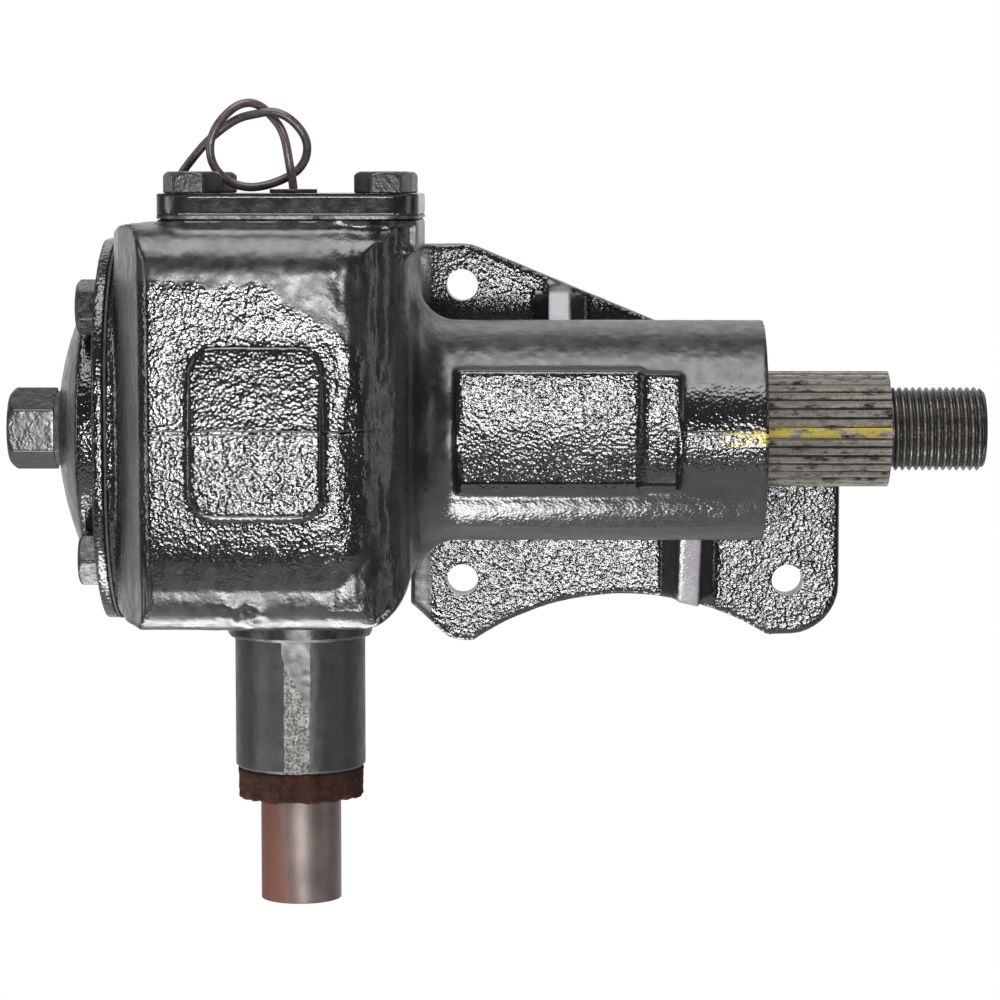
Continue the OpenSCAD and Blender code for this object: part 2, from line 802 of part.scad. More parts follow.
// Point of the worm's surface in a column at an angle
function worm_point(column, angle) =
    let (
        throw = thread_throw(column, angle),
        r = centre_distance - throw * cos(angle),
        around = 360 * column / worm_steps
    ) [r * cos(around), r * sin(around), throw * sin(angle)];

// Ring of points around the worm's axis
function worm_circle(r, z) =
    [for (c = [0:worm_steps - 1]) [r * cos(360 * c / worm_steps), r * sin(360 * c / worm_steps), z]];

module worm() {
    n = worm_steps;
    per_column = 4 * worm_turns;
    face_r = worm_d / 2 - 3;
    low_ring = [for (c = [0:n - 1]) worm_point(c, -worm_reach)];
    high_ring = [for (c = [0:n - 1]) worm_point(c, worm_reach)];
    corners = [
        for (c = [0:n - 1], j = [0:per_column - 1])
            worm_point(c, max(-worm_reach, min(worm_reach, corner_angle(c, j))))
    ];
    points = concat(
        low_ring, high_ring,
        worm_circle(face_r, -worm_half), worm_circle(worm_bore_r, -worm_half),
        worm_circle(worm_bore_r, worm_half), worm_circle(face_r, worm_half),
        corners
    );
    // Number of a corner's point, or of the ring's point where the corner lies past the worm's end
    function corner_id(c, j) =
        let (angle = corner_angle(c, j))
            angle <= -worm_reach ? c
            : angle >= worm_reach ? n + c
            : 6 * n + c * per_column + j;
    function next_id(c, j) = c < n - 1 ? corner_id(c + 1, j) : j + 4 < per_column ? corner_id(0, j + 4) : n;
    function ring_band(low, high) = [
        for (c = [0:n - 1])
            let (d = (c + 1) % n)
                each [[low + c, high + c, low + d], [low + d, high + c, high + d]]
    ];
    thread = [
        for (c = [0:n - 1], j = [0:per_column - 2])
            let (p = corner_id(c, j), q = corner_id(c, j + 1), r = next_id(c, j), s = next_id(c, j + 1))
                each [[p, q, r], [r, q, s]]
    ];
    skin = [for (f = thread) if (f[0] != f[1] && f[1] != f[2] && f[2] != f[0]) f];
    faces = concat(
        skin, ring_band(n, 5 * n), ring_band(5 * n, 4 * n), ring_band(4 * n, 3 * n),
        ring_band(3 * n, 2 * n), ring_band(2 * n, 0)
    );
    color("#a9a9a6") translate([worm_x, worm_y, 0]) polyhedron(points, faces, convexity = 10);
}

// Worm bearings

// Places for a worm bearing, with its narrow end outward: side is 1 at the end cover and -1 at the neck
module at_bearing(side) {
    translate([worm_x, worm_y, side * bearing_z]) mirror([0, 0, side > 0 ? 0 : 1]) children();
}

module bearing_cone(side) {
    rib = 1.3;
    half = bearing_h / 2;
    low_r = roller_ring_r - race_offset + race_taper;
    high_r = roller_ring_r - race_offset - race_taper;
    color("#b9bbbd")
        at_bearing(side)
            difference() {
                union() {
                    translate([0, 0, -half]) cylinder(h = bearing_h, r1 = low_r, r2 = high_r);
                    translate([0, 0, -half]) cylinder(h = rib, r = low_r + 1.6);
                    translate([0, 0, half - rib]) cylinder(h = rib, r = high_r + 1.4);
                }
                translate([0, 0, -half - cut]) cylinder(h = bearing_h + 2 * cut, r = cone_bore_r);
            }
}

// Ring of bearing rollers with a given play
module roller_ring(play) {
    l = bearing_roller_l + 2 * play;
    for (i = [0:bearing_rollers_n - 1])
        rotate([0, 0, 360 * i / bearing_rollers_n])
            translate([roller_ring_r, 0, 0])
                rotate([0, -race_slope, 0])
                    translate([0, 0, -l / 2])
                        cylinder(h = l, r = bearing_roller_r + play, $fn = 32);
}

module bearing_rollers(side) {
    color("#d0d2d4") at_bearing(side) roller_ring(0);
}

module bearing_cage(side) {
    half = bearing_h / 2 - 0.2;
    taper = tan(race_slope) * half;
    color("#c2a46a")
        at_bearing(side)
            difference() {
                rotate_extrude()
                    polygon([
                        [roller_ring_r + taper - cage_t / 2, -half], [roller_ring_r + taper + cage_t / 2, -half],
                        [roller_ring_r - taper + cage_t / 2, half], [roller_ring_r - taper - cage_t / 2, half]
                    ]);
                roller_ring(0.1);
            }
}

module bearing_cup(side) {
    half = bearing_h / 2;
    low_r = roller_ring_r + race_offset + race_taper;
    high_r = roller_ring_r + race_offset - race_taper;
    color("#b9bbbd")
        at_bearing(side)
            rotate_extrude() polygon([[low_r, -half], [cup_r, -half], [cup_r, half], [high_r, half]]);
}

module end_bearing_cone() { bearing_cone(1); }
module end_bearing_rollers() { bearing_rollers(1); }
module end_bearing_cage() { bearing_cage(1); }
module end_bearing_cup() { bearing_cup(1); }
module neck_bearing_cone() { bearing_cone(-1); }
module neck_bearing_rollers() { bearing_rollers(-1); }
module neck_bearing_cage() { bearing_cage(-1); }
module neck_bearing_cup() { bearing_cup(-1); }

// Sector shaft and roller

// Place of the roller's pin, with the pin along +Z
module at_pin() {
    translate([worm_x, sector_y - pin_throw, 0]) rotate([0, pin_tilt, 0]) children();
}

washer_t = 0.6;
washer_play = 0.1;
window_half = roller_h / 2 + washer_t + 2 * washer_play;
roller_outer_r = roller_reach * cos(pitch_angle / 2) - pin_throw + tooth_half * sin(pitch_angle / 2);

// Outline of the serrated end, with one broad blank rib facing the front
module serration_outline() {
    tip = serration_d / 2;
    foot = tip - serration_depth;
    step = 360 / serration_n;
    polygon([
        for (i = [0:serration_n - 1], k = [0:3])
            let (
                blank = i == 0,
                r = blank || k == 1 || k == 2 ? tip : foot,
                a = 270 + (i + [-0.5, -0.2, 0.2, 0.5][k] * (blank ? 0.99 : 0.98)) * step
            ) [r * cos(a), r * sin(a)]
    ]);
}

// Nut thread as a row of round grooves
module thread_section() {
    r = thread_d / 2;
    turns = floor((thread_l - 2) / thread_pitch);
    difference() {
        polygon([[0, 0], [r, 0], [r, thread_l - 1.2], [r - 1.2, thread_l], [0, thread_l]]);
        for (i = [1:turns])
            translate([r, i * thread_pitch])
                polygon([
                    [cut, -thread_pitch * 0.45 - cut * 0.6], [cut, thread_pitch * 0.45 + cut * 0.6],
                    [-thread_depth, thread_pitch * 0.08], [-thread_depth, -thread_pitch * 0.08]
                ]);
    }
}

module sector_shaft() {
    slot_head_r = adjuster_head_r + gap;
    slot_neck_r = adjuster_d / 2 + gap;
    slot_l = adjuster_head_h + 2 * gap;
    window_w = 2 * (roller_outer_r + 0.8);
    color("#6f7072")
        difference() {
            union() {
                rod_x(head_left_x, head_right_x, head_r);
                rod_x(head_right_x - 1, tube_reach, journal_d / 2);
                translate([tube_reach - 1, sector_y, 0])
                    rotate([90, 0, 90])
                        rotate([0, 0, -90])
                            linear_extrude(serration_l + 1) serration_outline();
                rod_x(serration_x - 1, thread_x + 1, thread_d / 2 - thread_depth);
                translate([thread_x, sector_y, 0]) rotate([0, 90, 0]) rotate_extrude() thread_section();
            }
            at_pin()
                translate([-window_w / 2, -head_r, -window_half])
                    cube([window_w, head_r + roller_outer_r + 0.8, 2 * window_half]);
            at_pin() translate([0, 0, -head_d]) cylinder(h = 2 * head_d, r = pin_d / 2 + fit);
            rod_x(head_left_x - cut, head_left_x + slot_lip + cut, slot_neck_r);
            rod_x(head_left_x + slot_lip, head_left_x + slot_lip + slot_l, slot_head_r);
            translate([head_left_x - cut, sector_y, -slot_neck_r])
                cube([slot_lip + 2 * cut, head_d, 2 * slot_neck_r]);
            translate([head_left_x + slot_lip, sector_y, -slot_head_r])
                cube([slot_l, head_d, 2 * slot_head_r]);
        }
}

// Corner of a roller tooth, as radius from the pin and height, for a throw and a half thickness
function tooth_corner(throw, half) =
    let (a = pitch_angle / 2)
        [throw * cos(a) - half * sin(a) - pin_throw, throw * sin(a) + half * cos(a)];

needle_r = 0.95;
needle_n = 17;
race_r = pin_d / 2 + 2 * (needle_r + fit);

module roller() {
    base = thread_crest - 0.6;
    tip_half = tooth_half - (roller_reach - pitch_throw) * tan(flank);
    base_half = tooth_half - (base - pitch_throw) * tan(flank);
    half_section = [
        tooth_corner(base, -base_half), tooth_corner(roller_reach, -tip_half),
        tooth_corner(roller_reach, tip_half), tooth_corner(base, base_half),
        [tooth_corner(base, base_half)[0] - 0.4, roller_h / 2], [race_r, roller_h / 2]
    ];
    mirrored = [for (i = [len(half_section) - 1:-1:0]) [half_section[i][0], -half_section[i][1]]];
    color("#b4b4b0") at_pin() rotate_extrude() polygon(concat(half_section, mirrored));
}

module roller_pin() {
    pin_half = sqrt(pow(head_r, 2) - pow(pin_throw + pin_d / 2, 2)) - 0.5;
    color("#c4c6c8") at_pin() translate([0, 0, -pin_half]) cylinder(h = 2 * pin_half, r = pin_d / 2);
}

module roller_needles() {
    needle_l = roller_h - 1;
    color("#d0d2d4")
        at_pin()
            for (i = [0:needle_n - 1])
                rotate([0, 0, 360 * i / needle_n])
                    translate([pin_d / 2 + needle_r + fit, 0, -needle_l / 2])
                        cylinder(h = needle_l, r = needle_r, $fn = 16);
}

module roller_washers() {
    color("#c8a860")
        at_pin()
            for (side = [-1, 1])
                translate([0, 0, side * (roller_h / 2 + washer_play + washer_t / 2)])
                    difference() {
                        cylinder(h = washer_t, r = race_r + 1, center = true);
                        cylinder(h = 2 * washer_t, r = pin_d / 2 + running, center = true);
                    }
}

// Bushing of the sector shaft from x0 to x1
module sector_bushing(x0, x1) {
    color("#b08d4f")
        difference() {
            rod_x(x0, x1, bore_r);
            rod_x(x0 - cut, x1 + cut, journal_d / 2 + running);
        }
}

inner_bushing_l = 32;
outer_bushing_l = 28;
bushing_inset = 1;
inner_bushing_x = cavity_end_x + bushing_inset;
outer_bushing_x = tube_reach - seal_l - bushing_inset - outer_bushing_l;

module sector_bushing_inner() { sector_bushing(inner_bushing_x, inner_bushing_x + inner_bushing_l); }
module sector_bushing_outer() { sector_bushing(outer_bushing_x, outer_bushing_x + outer_bushing_l); }

module sector_seal() {
    lip = 1.2;
    seal_inset = 0.6;
    groove_in = seal_l / 4;
    groove_l = seal_l * 3 / 8;
    seal_x = tube_reach - seal_l;
    color("#202020")
        difference() {
            rod_x(seal_x, tube_reach - seal_inset, seal_bore_r);
            rod_x(seal_x - cut, tube_reach, journal_d / 2 + running);
            rod_x(seal_x + groove_in, seal_x + groove_in + groove_l, journal_d / 2 + lip);
        }
}

housing();
side_cover();
side_cover_gasket();
side_cover_bolts();
adjuster_screw();
adjuster_washer();
adjuster_cap_nut();
end_cover();
end_cover_shims();
end_cover_bolts();
horn_tube();
horn_tube_ferrule();
horn_wire_inner();
horn_wire();
horn_wire_terminal();
neck_dust_seal();
steering_shaft_bushing();
steering_shaft();
worm();
end_bearing_cone();
end_bearing_rollers();
end_bearing_cage();
end_bearing_cup();
neck_bearing_cone();
neck_bearing_rollers();
neck_bearing_cage();
neck_bearing_cup();
sector_shaft();
roller();
roller_pin();
roller_needles();
roller_washers();
sector_bushing_inner();
sector_bushing_outer();
sector_seal();
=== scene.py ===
import math

import bmesh
import bpy
import numpy as np
from mathutils import Matrix, Vector, noise


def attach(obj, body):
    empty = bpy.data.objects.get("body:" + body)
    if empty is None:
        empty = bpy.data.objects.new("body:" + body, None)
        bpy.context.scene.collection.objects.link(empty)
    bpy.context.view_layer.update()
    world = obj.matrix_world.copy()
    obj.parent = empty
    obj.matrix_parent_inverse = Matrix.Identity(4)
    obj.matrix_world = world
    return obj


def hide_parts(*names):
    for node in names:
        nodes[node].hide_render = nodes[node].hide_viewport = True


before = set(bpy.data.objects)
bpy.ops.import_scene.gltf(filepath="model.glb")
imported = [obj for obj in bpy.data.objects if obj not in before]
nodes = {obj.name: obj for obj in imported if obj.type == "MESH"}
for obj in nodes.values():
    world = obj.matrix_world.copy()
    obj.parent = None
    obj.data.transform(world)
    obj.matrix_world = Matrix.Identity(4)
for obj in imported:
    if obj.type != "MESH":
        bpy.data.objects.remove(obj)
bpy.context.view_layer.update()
MM = 0.001

# Places and sizes from the CAD source, in millimetres
SECTOR_Y = -50.0
WORM_X = -39.4
WORM_Y = -96.0
SIDE_X = -88.0
FRONT_Y = -132.0
BODY_TOP = 56.6
BODY_BOTTOM = -44.6
TUBE_END = 81.0
CAVITY_END = -15.9
CAVITY_R = 36.0
BORE_R = 17.53
SEAL_X = 73.0
SEAL_R = 21.53
WORM_BORE_R = 25.03
CUP_SEAT = -37.477
NECK_BORE_R = 13.03
COLLAR_Z = -49.2
COLLAR_R = 18.35
NECK_Z = -83.0
NECK_R = 16.55
KEY_W = 6.6
KEY_DEPTH = 1.8
BOLT_HOLE_R = 4.01
BOLT_HOLE_L = 17.0
SIDE_BOLTS = [(SIDE_X, SECTOR_Y + sy * 32.5, 1.0 + sz * 32.5) for sy in (-1, 1) for sz in (-1, 1)]
END_BOLTS = [(WORM_X - 1 + sx * 23.5, WORM_Y + sy * 21.0, BODY_TOP) for sx in (-1, 1) for sy in (-1, 1)]
FLANGE_HOLES = [(0.0, 37.0), (0.0, -45.5), (91.0, -45.5)]
FLANGE_HOLE_R = 4.4
FLANGE_T = 10.0
UPPER_RIB_X = 27.0
UPPER_RIB_END = 34.4
LOWER_RIB_X = 63.0
LOWER_RIB_END = -50.2
RIB_FOOT = 20.0
FRONT_PAD_X = (-65.5, -29.3)
FRONT_PAD_Z = (-17.5, 27.5)
TUBE_PAD_END = 57.0
TUBE_PAD_Y = -79.0
SPLINE_FLOOR_R = 14.55
SPLINE_TOP_R = 15.1
THREAD_X = 115.2
THREAD_END = 139.8
THREAD_R = 11.1
THREAD_PITCH = 1.8
THREAD_DEPTH = 1.0
WIRE_D = 2.2
WIRE = [
    (-40.5, -96, 63.8), (-40.8, -96.3, 66.5), (-41.3, -97, 69.5), (-42.3, -97.5, 75.5),
    (-43.6, -96.5, 79), (-45.4, -95.5, 81.4), (-46.9, -94.5, 82.9), (-48.5, -94.5, 84.4),
    (-51.3, -95.5, 85.4), (-54.5, -97, 84.6), (-57.5, -98, 82.1), (-59.8, -98.5, 79),
    (-61.1, -98.5, 75.4), (-61.1, -98, 72), (-60.1, -97.5, 69.2), (-58, -97, 66.7), (-55.5, -96.5, 65.1),
    (-51.9, -96, 64.3), (-48.3, -95, 64.6), (-44.9, -94, 65.6), (-41.9, -93.5, 67), (-39.3, -94, 68.8),
    (-37.5, -95, 71.5), (-37, -96, 74.6), (-37.8, -97, 77.4), (-39.9, -97.5, 80.2), (-42.8, -97.8, 82.3),
    (-46.1, -97.5, 83.1), (-49.7, -96.8, 82.6), (-53.9, -95.8, 81.6), (-57.8, -95, 79.4),
    (-62, -94.5, 76), (-64.8, -94, 73), (-67.3, -93.4, 70), (-68.8, -92.6, 68), (-69.8, -91.4, 66.2),
    (-70.3, -89.6, 65), (-70.4, -87.6, 64.6),
]

# Limits of the enamel's zones and outline of the drip in the keyway, in millimetres
BODY_RIGHT_X = -9.5
BROW_X = -46.0
BROW_Z = 40.5
SEAM_BODY_Z = 4.9
SEAM_TUBE_Z = 1.0
DRIP = [
    (-43.0, -48.0), (-35.8, -48.0), (-35.8, -66.5), (-36.6, -66.0),
    (-38.6, -61.5), (-42.2, -55.5), (-43.0, -52.0),
]

# Camera at the photograph's viewing angle
CAMERA_PLACE = (21.7, -950.0, 66.2)
CAMERA_AIM = (11.0, -50.0, -19.2)
CAMERA_LENS = 121.6

# Studio round the object
LIGHT_AIM = (10.0, -60.0, 0.0)
FILL_LIGHT = 0.3
ROOM_LIGHT = 0.06
FLOOR_Z = -350.0
FLOOR_HALF = 650.0
FLOOR_FADE = (400.0, 700.0)


def millimetres(point):
    return Vector(point) * MM


def link(obj):
    bpy.context.scene.collection.objects.link(obj)
    return obj


def aim(obj, place, target):
    obj.location = millimetres(place)
    toward = millimetres(target) - obj.location
    obj.rotation_euler = toward.to_track_quat("-Z", "Y").to_euler()


def add_camera():
    data = bpy.data.cameras.new("camera")
    data.lens = CAMERA_LENS
    data.sensor_width = 36.0
    data.clip_start = 0.01
    camera = link(bpy.data.objects.new("camera", data))
    aim(camera, CAMERA_PLACE, CAMERA_AIM)
    bpy.context.scene.camera = camera


add_camera()


# Horn wire on the route of its CAD solid

def smooth_route(points, steps):
    """Points of a smooth curve through the given ones."""
    pts = [Vector(p) for p in points]
    ends = [pts[0] * 2 - pts[1]] + pts + [pts[-1] * 2 - pts[-2]]
    route = []
    for i in range(1, len(ends) - 2):
        a, b, c, d = ends[i - 1:i + 3]
        for k in range(steps):
            t = k / steps
            route.append(0.5 * (2 * b + (c - a) * t + (2 * a - 5 * b + 4 * c - d) * t ** 2
                                + (3 * b - a - 3 * c + d) * t ** 3))
    return route + [pts[-1]]


def add_wire():
    """Round wire along the route, as one open curve."""
    route = [p * MM for p in smooth_route(WIRE, 5)]
    data = bpy.data.curves.new("horn_wire_strand", "CURVE")
    data.dimensions = "3D"
    data.bevel_depth = 1.0
    data.bevel_resolution = 5
    data.use_fill_caps = True
    spline = data.splines.new("POLY")
    spline.points.add(len(route) - 1)
    for point, place in zip(spline.points, route):
        point.co = (*place, 1.0)
        point.radius = WIRE_D / 2 * MM
    spline.use_smooth = True
    wire = link(bpy.data.objects.new("horn_wire_strand", data))
    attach(wire, "gearbox")
    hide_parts("horn_wire")
    return wire


wire = add_wire()


# Procedural materials

class Finish:
    """One material's node tree, in the coordinates of the object that wears it."""

    def __init__(self, name, rough=0.4, metal=0.0):
        self.material = bpy.data.materials.new(name)
        self.material.use_nodes = True
        self.tree = self.material.node_tree
        self.shader = self.tree.nodes["Principled BSDF"]
        self.shader.inputs["Roughness"].default_value = rough
        self.shader.inputs["Metallic"].default_value = metal
        self.coords = self.tree.nodes.new("ShaderNodeTexCoord").outputs["Object"]

    def node(self, kind, **values):
        made = self.tree.nodes.new(kind)
        for key, value in values.items():
            setattr(made, key, value)
        return made

    def put(self, socket, value):
        if hasattr(value, "is_output"):
            self.tree.links.new(value, socket)
        else:
            socket.default_value = value

    def set(self, name, value):
        self.put(self.shader.inputs[name], value)

    def stretched(self, scale):
        made = self.node("ShaderNodeMapping")
        self.put(made.inputs["Vector"], self.coords)
        made.inputs["Scale"].default_value = scale
        return made.outputs["Vector"]

    def noise(self, size, detail=3.0, rough=0.55, stretch=None):
        """Noise between 0 and 1 with grains of about the given size in millimetres."""
        made = self.node("ShaderNodeTexNoise")
        self.put(made.inputs["Vector"], self.stretched(stretch) if stretch else self.coords)
        made.inputs["Scale"].default_value = 1.0 / (size * MM)
        made.inputs["Detail"].default_value = detail
        made.inputs["Roughness"].default_value = rough
        return made.outputs["Fac"]

    def cells(self, size):
        """Round grains of about the given size in millimetres, 0 in their middle."""
        made = self.node("ShaderNodeTexVoronoi", feature="SMOOTH_F1")
        self.put(made.inputs["Vector"], self.coords)
        made.inputs["Scale"].default_value = 1.0 / (size * MM)
        made.inputs["Smoothness"].default_value = 0.6
        return made.outputs["Distance"]

    def math(self, operation, a, b=0.0):
        made = self.node("ShaderNodeMath", operation=operation)
        self.put(made.inputs[0], a)
        self.put(made.inputs[1], b)
        return made.outputs[0]

    def between(self, value, low, high, start=0.0, end=1.0):
        """Smooth step of a value from start at low to end at high."""
        made = self.node("ShaderNodeMapRange", interpolation_type="SMOOTHSTEP")
        self.put(made.inputs["Value"], value)
        for socket, number in zip(("From Min", "From Max", "To Min", "To Max"), (low, high, start, end)):
            self.put(made.inputs[socket], number)
        return made.outputs["Result"]

    def mix(self, share, a, b):
        made = self.node("ShaderNodeMix", data_type="RGBA")
        self.put(made.inputs["Factor"], share)
        self.put(made.inputs["A"], a)
        self.put(made.inputs["B"], b)
        return made.outputs["Result"]

    def axis(self, name):
        made = self.node("ShaderNodeSeparateXYZ")
        self.put(made.inputs[0], self.coords)
        return made.outputs[name]

    def attribute(self, name):
        return self.node("ShaderNodeAttribute", attribute_name=name).outputs["Fac"]

    def edges(self, low, high):
        """Share of wear on outward edges."""
        return self.between(self.node("ShaderNodeNewGeometry").outputs["Pointiness"], low, high)

    def bump(self, height, depth):
        """Relief of the given depth in millimetres."""
        made = self.node("ShaderNodeBump")
        made.inputs["Distance"].default_value = depth * MM
        made.inputs["Strength"].default_value = 1.0
        self.put(made.inputs["Height"], height)
        self.set("Normal", made.outputs["Normal"])

    def colour(self, value):
        self.set("Base Color", value)


def rgb(red, green, blue):
    return (red, green, blue, 1.0)


def casting_marks(f, tone, shade, height, sheen):
    """Parting line, yellow smear, bare neck, pitted keyway and a pale painted reflection on the gusset slopes
    on top of the enamel.
    """
    wander = f.math("MULTIPLY", f.math("SUBTRACT", f.noise(12.0, 3.0), 0.5), 1.6 * MM)
    seam_z = f.between(f.axis("X"), -14.0 * MM, -4.0 * MM, SEAM_BODY_Z * MM, SEAM_TUBE_Z * MM)
    away = f.math("ABSOLUTE", f.math("SUBTRACT", f.math("SUBTRACT", f.axis("Z"), seam_z), wander))
    seam = f.math("MULTIPLY", f.between(away, 0.7 * MM, 0.25 * MM), f.attribute("seam"))
    height = f.math("SUBTRACT", height, f.math("MULTIPLY", seam, 1.5))
    shade = f.mix(seam, shade, rgb(0.001, 0.001, 0.001))
    yellow = f.math("MULTIPLY", f.attribute("yellow"), f.between(f.noise(1.6, 3.0), 0.42, 0.6))
    shade = f.mix(yellow, shade, rgb(0.45, 0.33, 0.03))
    bare = f.attribute("bare")
    shade = f.mix(bare, shade, f.mix(tone, rgb(0.009, 0.0085, 0.008), rgb(0.019, 0.0175, 0.0165)))
    f.set("Roughness", f.math("ADD", sheen, f.math("MULTIPLY", bare, 0.12)))
    key = f.between(f.attribute("key"), 0.75, 0.95)
    pits = f.between(f.noise(0.7, 3.0), 0.35, 0.62)
    shade = f.mix(key, shade, f.mix(pits, rgb(0.034, 0.032, 0.030), rgb(0.135, 0.131, 0.127)))
    f.set("Metallic", f.math("MULTIPLY", key, 0.9))
    # Pale lilac grey on the gusset slopes is a painted reflection of the lamps above and below
    return f.mix(f.attribute("pale"), shade, rgb(0.27, 0.25, 0.28)), height


def enamel(name, grain, zone=None):
    """Black enamel, glossy over cast grain and satin elsewhere, by the mesh's zones where none is given."""
    f = Finish(name)
    f.shader.inputs["Specular IOR Level"].default_value = 0.7
    cast = f.math("ADD", f.math("MULTIPLY", f.cells(0.9), 1.1), f.math("MULTIPLY", f.noise(0.6, 1.5), 0.7))
    swell = f.math("MULTIPLY", f.noise(3.2, 2.0, 0.5), 0.5)
    peel = f.math("SUBTRACT", swell, f.math("MULTIPLY", f.cells(2.6), 0.8))
    tone = f.between(f.noise(25.0, 4.0, 0.6), 0.40, 0.70)
    shade = f.mix(tone, rgb(0.0065, 0.0065, 0.0070), rgb(0.0125, 0.0115, 0.0110))
    use_zones = zone is None
    zone = f.attribute("grain") if use_zones else zone
    height = f.math("ADD", f.math("MULTIPLY", cast, zone), peel)
    satin = f.between(f.noise(4.0, 3.0, 0.6), 0.3, 0.7, 0.27, 0.41)
    sheen = f.math("MULTIPLY", satin, f.between(zone, 0.1, 0.7, 1.0, 0.42))
    f.set("Roughness", sheen)
    if use_zones:
        shade, height = casting_marks(f, tone, shade, height, sheen)
    f.bump(height, grain)
    f.colour(shade)
    return f.material


def painted_steel(name, body):
    """Machined steel under thin black enamel that has worn off its edges."""
    f = Finish(name)
    patches = f.noise(2.2, 4.0, 0.6)
    worn = f.math("MULTIPLY", f.edges(0.53, 0.60), f.between(patches, 0.35, 0.6))
    chips = f.between(f.noise(3.5, 5.0, 0.65), 0.62, 0.70)
    worn = f.math("MAXIMUM", worn, f.math("MULTIPLY", chips, 0.5))
    tone = f.mix(f.between(f.noise(6.0, 3.0), 0.3, 0.7), rgb(*body), rgb(*[c * 2.2 for c in body]))
    f.colour(f.mix(worn, tone, rgb(0.20, 0.20, 0.20)))
    f.set("Metallic", f.math("MULTIPLY", worn, 0.9))
    f.set("Roughness", f.between(f.noise(1.6, 3.0), 0.3, 0.7, 0.18, 0.42))
    f.bump(f.math("ADD", f.noise(1.1, 3.0), f.math("MULTIPLY", f.noise(4.0, 2.0), 1.5)), 0.12)
    return f.material


def machined(name, tone, rough, stain, stretch=(1.0, 1.0, 1.0)):
    """Machined metal with tool marks and faint stains."""
    f = Finish(name, metal=1.0)
    marks = f.noise(0.6, 2.0, 0.5, stretch=stretch)
    spots = f.between(f.noise(5.0, 4.0, 0.6), 0.45, 0.7)
    f.colour(f.mix(spots, rgb(*tone), rgb(*stain)))
    f.set("Roughness", f.between(marks, 0.3, 0.7, rough * 0.8, rough * 1.3))
    f.bump(marks, 0.03)
    return f.material


def shaft_steel(name):
    """Dark oiled steel of the sector shaft with enamel in its grooves and yellow paint on its blank rib."""
    f = Finish(name)
    x = f.axis("X")
    y = f.math("SUBTRACT", f.axis("Y"), SECTOR_Y * MM)
    z = f.axis("Z")
    r = f.math("SQRT", f.math("ADD", f.math("MULTIPLY", y, y), f.math("MULTIPLY", z, z)))
    streaks = f.noise(1.6, 4.0, 0.6, stretch=(0.4, 1.0, 1.0))
    on_rib = f.between(r, SPLINE_FLOOR_R * MM, SPLINE_TOP_R * MM)
    on_thread = f.between(x, (THREAD_X - 0.6) * MM, THREAD_X * MM)
    on_crest = f.between(r, (THREAD_R - 0.6) * MM, (THREAD_R - 0.1) * MM)
    high = f.math("MAXIMUM", on_rib, f.math("MULTIPLY", on_thread, on_crest))
    bare = f.math("MULTIPLY", high, f.between(streaks, 0.32, 0.60))
    inside = f.between(x, TUBE_END * MM, (TUBE_END - 1.0) * MM)
    bare = f.math("MAXIMUM", bare, inside)
    steel = f.mix(on_thread, rgb(0.52, 0.48, 0.42), rgb(0.16, 0.145, 0.135))
    shade = f.mix(bare, rgb(0.011, 0.010, 0.009), steel)
    front = f.between(y, -14.3 * MM, -14.9 * MM)
    band = f.between(f.math("ABSOLUTE", z), 1.75 * MM, 1.35 * MM)
    start = f.between(x, TUBE_END * MM, (TUBE_END + 1.0) * MM)
    along = f.math("MULTIPLY", start, f.between(x, (THREAD_X - 0.8) * MM, (THREAD_X - 1.2) * MM))
    mask = f.math("MULTIPLY", f.math("MULTIPLY", front, band), along)
    mask = f.math("MULTIPLY", mask, f.between(f.noise(3.0, 4.0, 0.65, stretch=(0.4, 1.0, 1.0)), 0.40, 0.52))
    f.colour(f.mix(mask, shade, rgb(0.40, 0.31, 0.045)))
    f.set("Metallic", f.math("MULTIPLY", bare, f.math("SUBTRACT", 0.85, mask)))
    f.set("Roughness", f.between(f.noise(2.0, 3.0), 0.3, 0.7, 0.24, 0.45))
    f.bump(f.math("ADD", streaks, f.noise(0.9, 2.0)), 0.10)
    return f.material


def rusty_steel(name):
    """Brownish steel with red rust on the side away from the sector shaft."""
    f = Finish(name)
    side = f.between(f.axis("X"), (WORM_X + 2.5) * MM, (WORM_X - 8.5) * MM)
    flecks = f.noise(6.0, 5.0, 0.6, stretch=(1.0, 1.0, 0.3))
    rust = f.between(f.math("ADD", f.math("MULTIPLY", side, 0.55), flecks), 0.55, 1.05)
    low = f.between(f.axis("Z"), -100.0 * MM, -117.0 * MM)
    rust = f.math("MINIMUM", f.math("ADD", rust, f.math("MULTIPLY", low, f.math("MULTIPLY", side, 0.4))), 1.0)
    steel = f.mix(f.between(f.noise(12.0, 3.0), 0.3, 0.7), rgb(0.085, 0.067, 0.063), rgb(0.15, 0.118, 0.111))
    f.colour(f.mix(rust, steel, rgb(0.080, 0.023, 0.014)))
    f.set("Metallic", f.between(rust, 0.0, 1.0, 0.6, 0.1))
    f.set("Roughness", f.between(rust, 0.0, 1.0, 0.38, 0.62))
    f.bump(f.math("ADD", f.noise(0.6, 3.0, stretch=(1.0, 1.0, 3.0)), f.math("MULTIPLY", rust, 0.6)), 0.05)
    return f.material


def felt(name):
    """Red-brown frayed felt."""
    f = Finish(name, rough=0.95)
    strands = f.noise(0.5, 4.0, 0.7, stretch=(1.0, 1.0, 0.5))
    blots = f.noise(3.0, 4.0, 0.6)
    tone = f.mix(f.between(blots, 0.3, 0.7), rgb(0.008, 0.0035, 0.003), rgb(0.034, 0.010, 0.007))
    f.colour(f.mix(f.between(strands, 0.52, 0.75), tone, rgb(0.062, 0.022, 0.016)))
    f.shader.inputs["Specular IOR Level"].default_value = 0.2
    f.bump(f.math("ADD", strands, f.math("MULTIPLY", blots, 0.6)), 0.5)
    return f.material


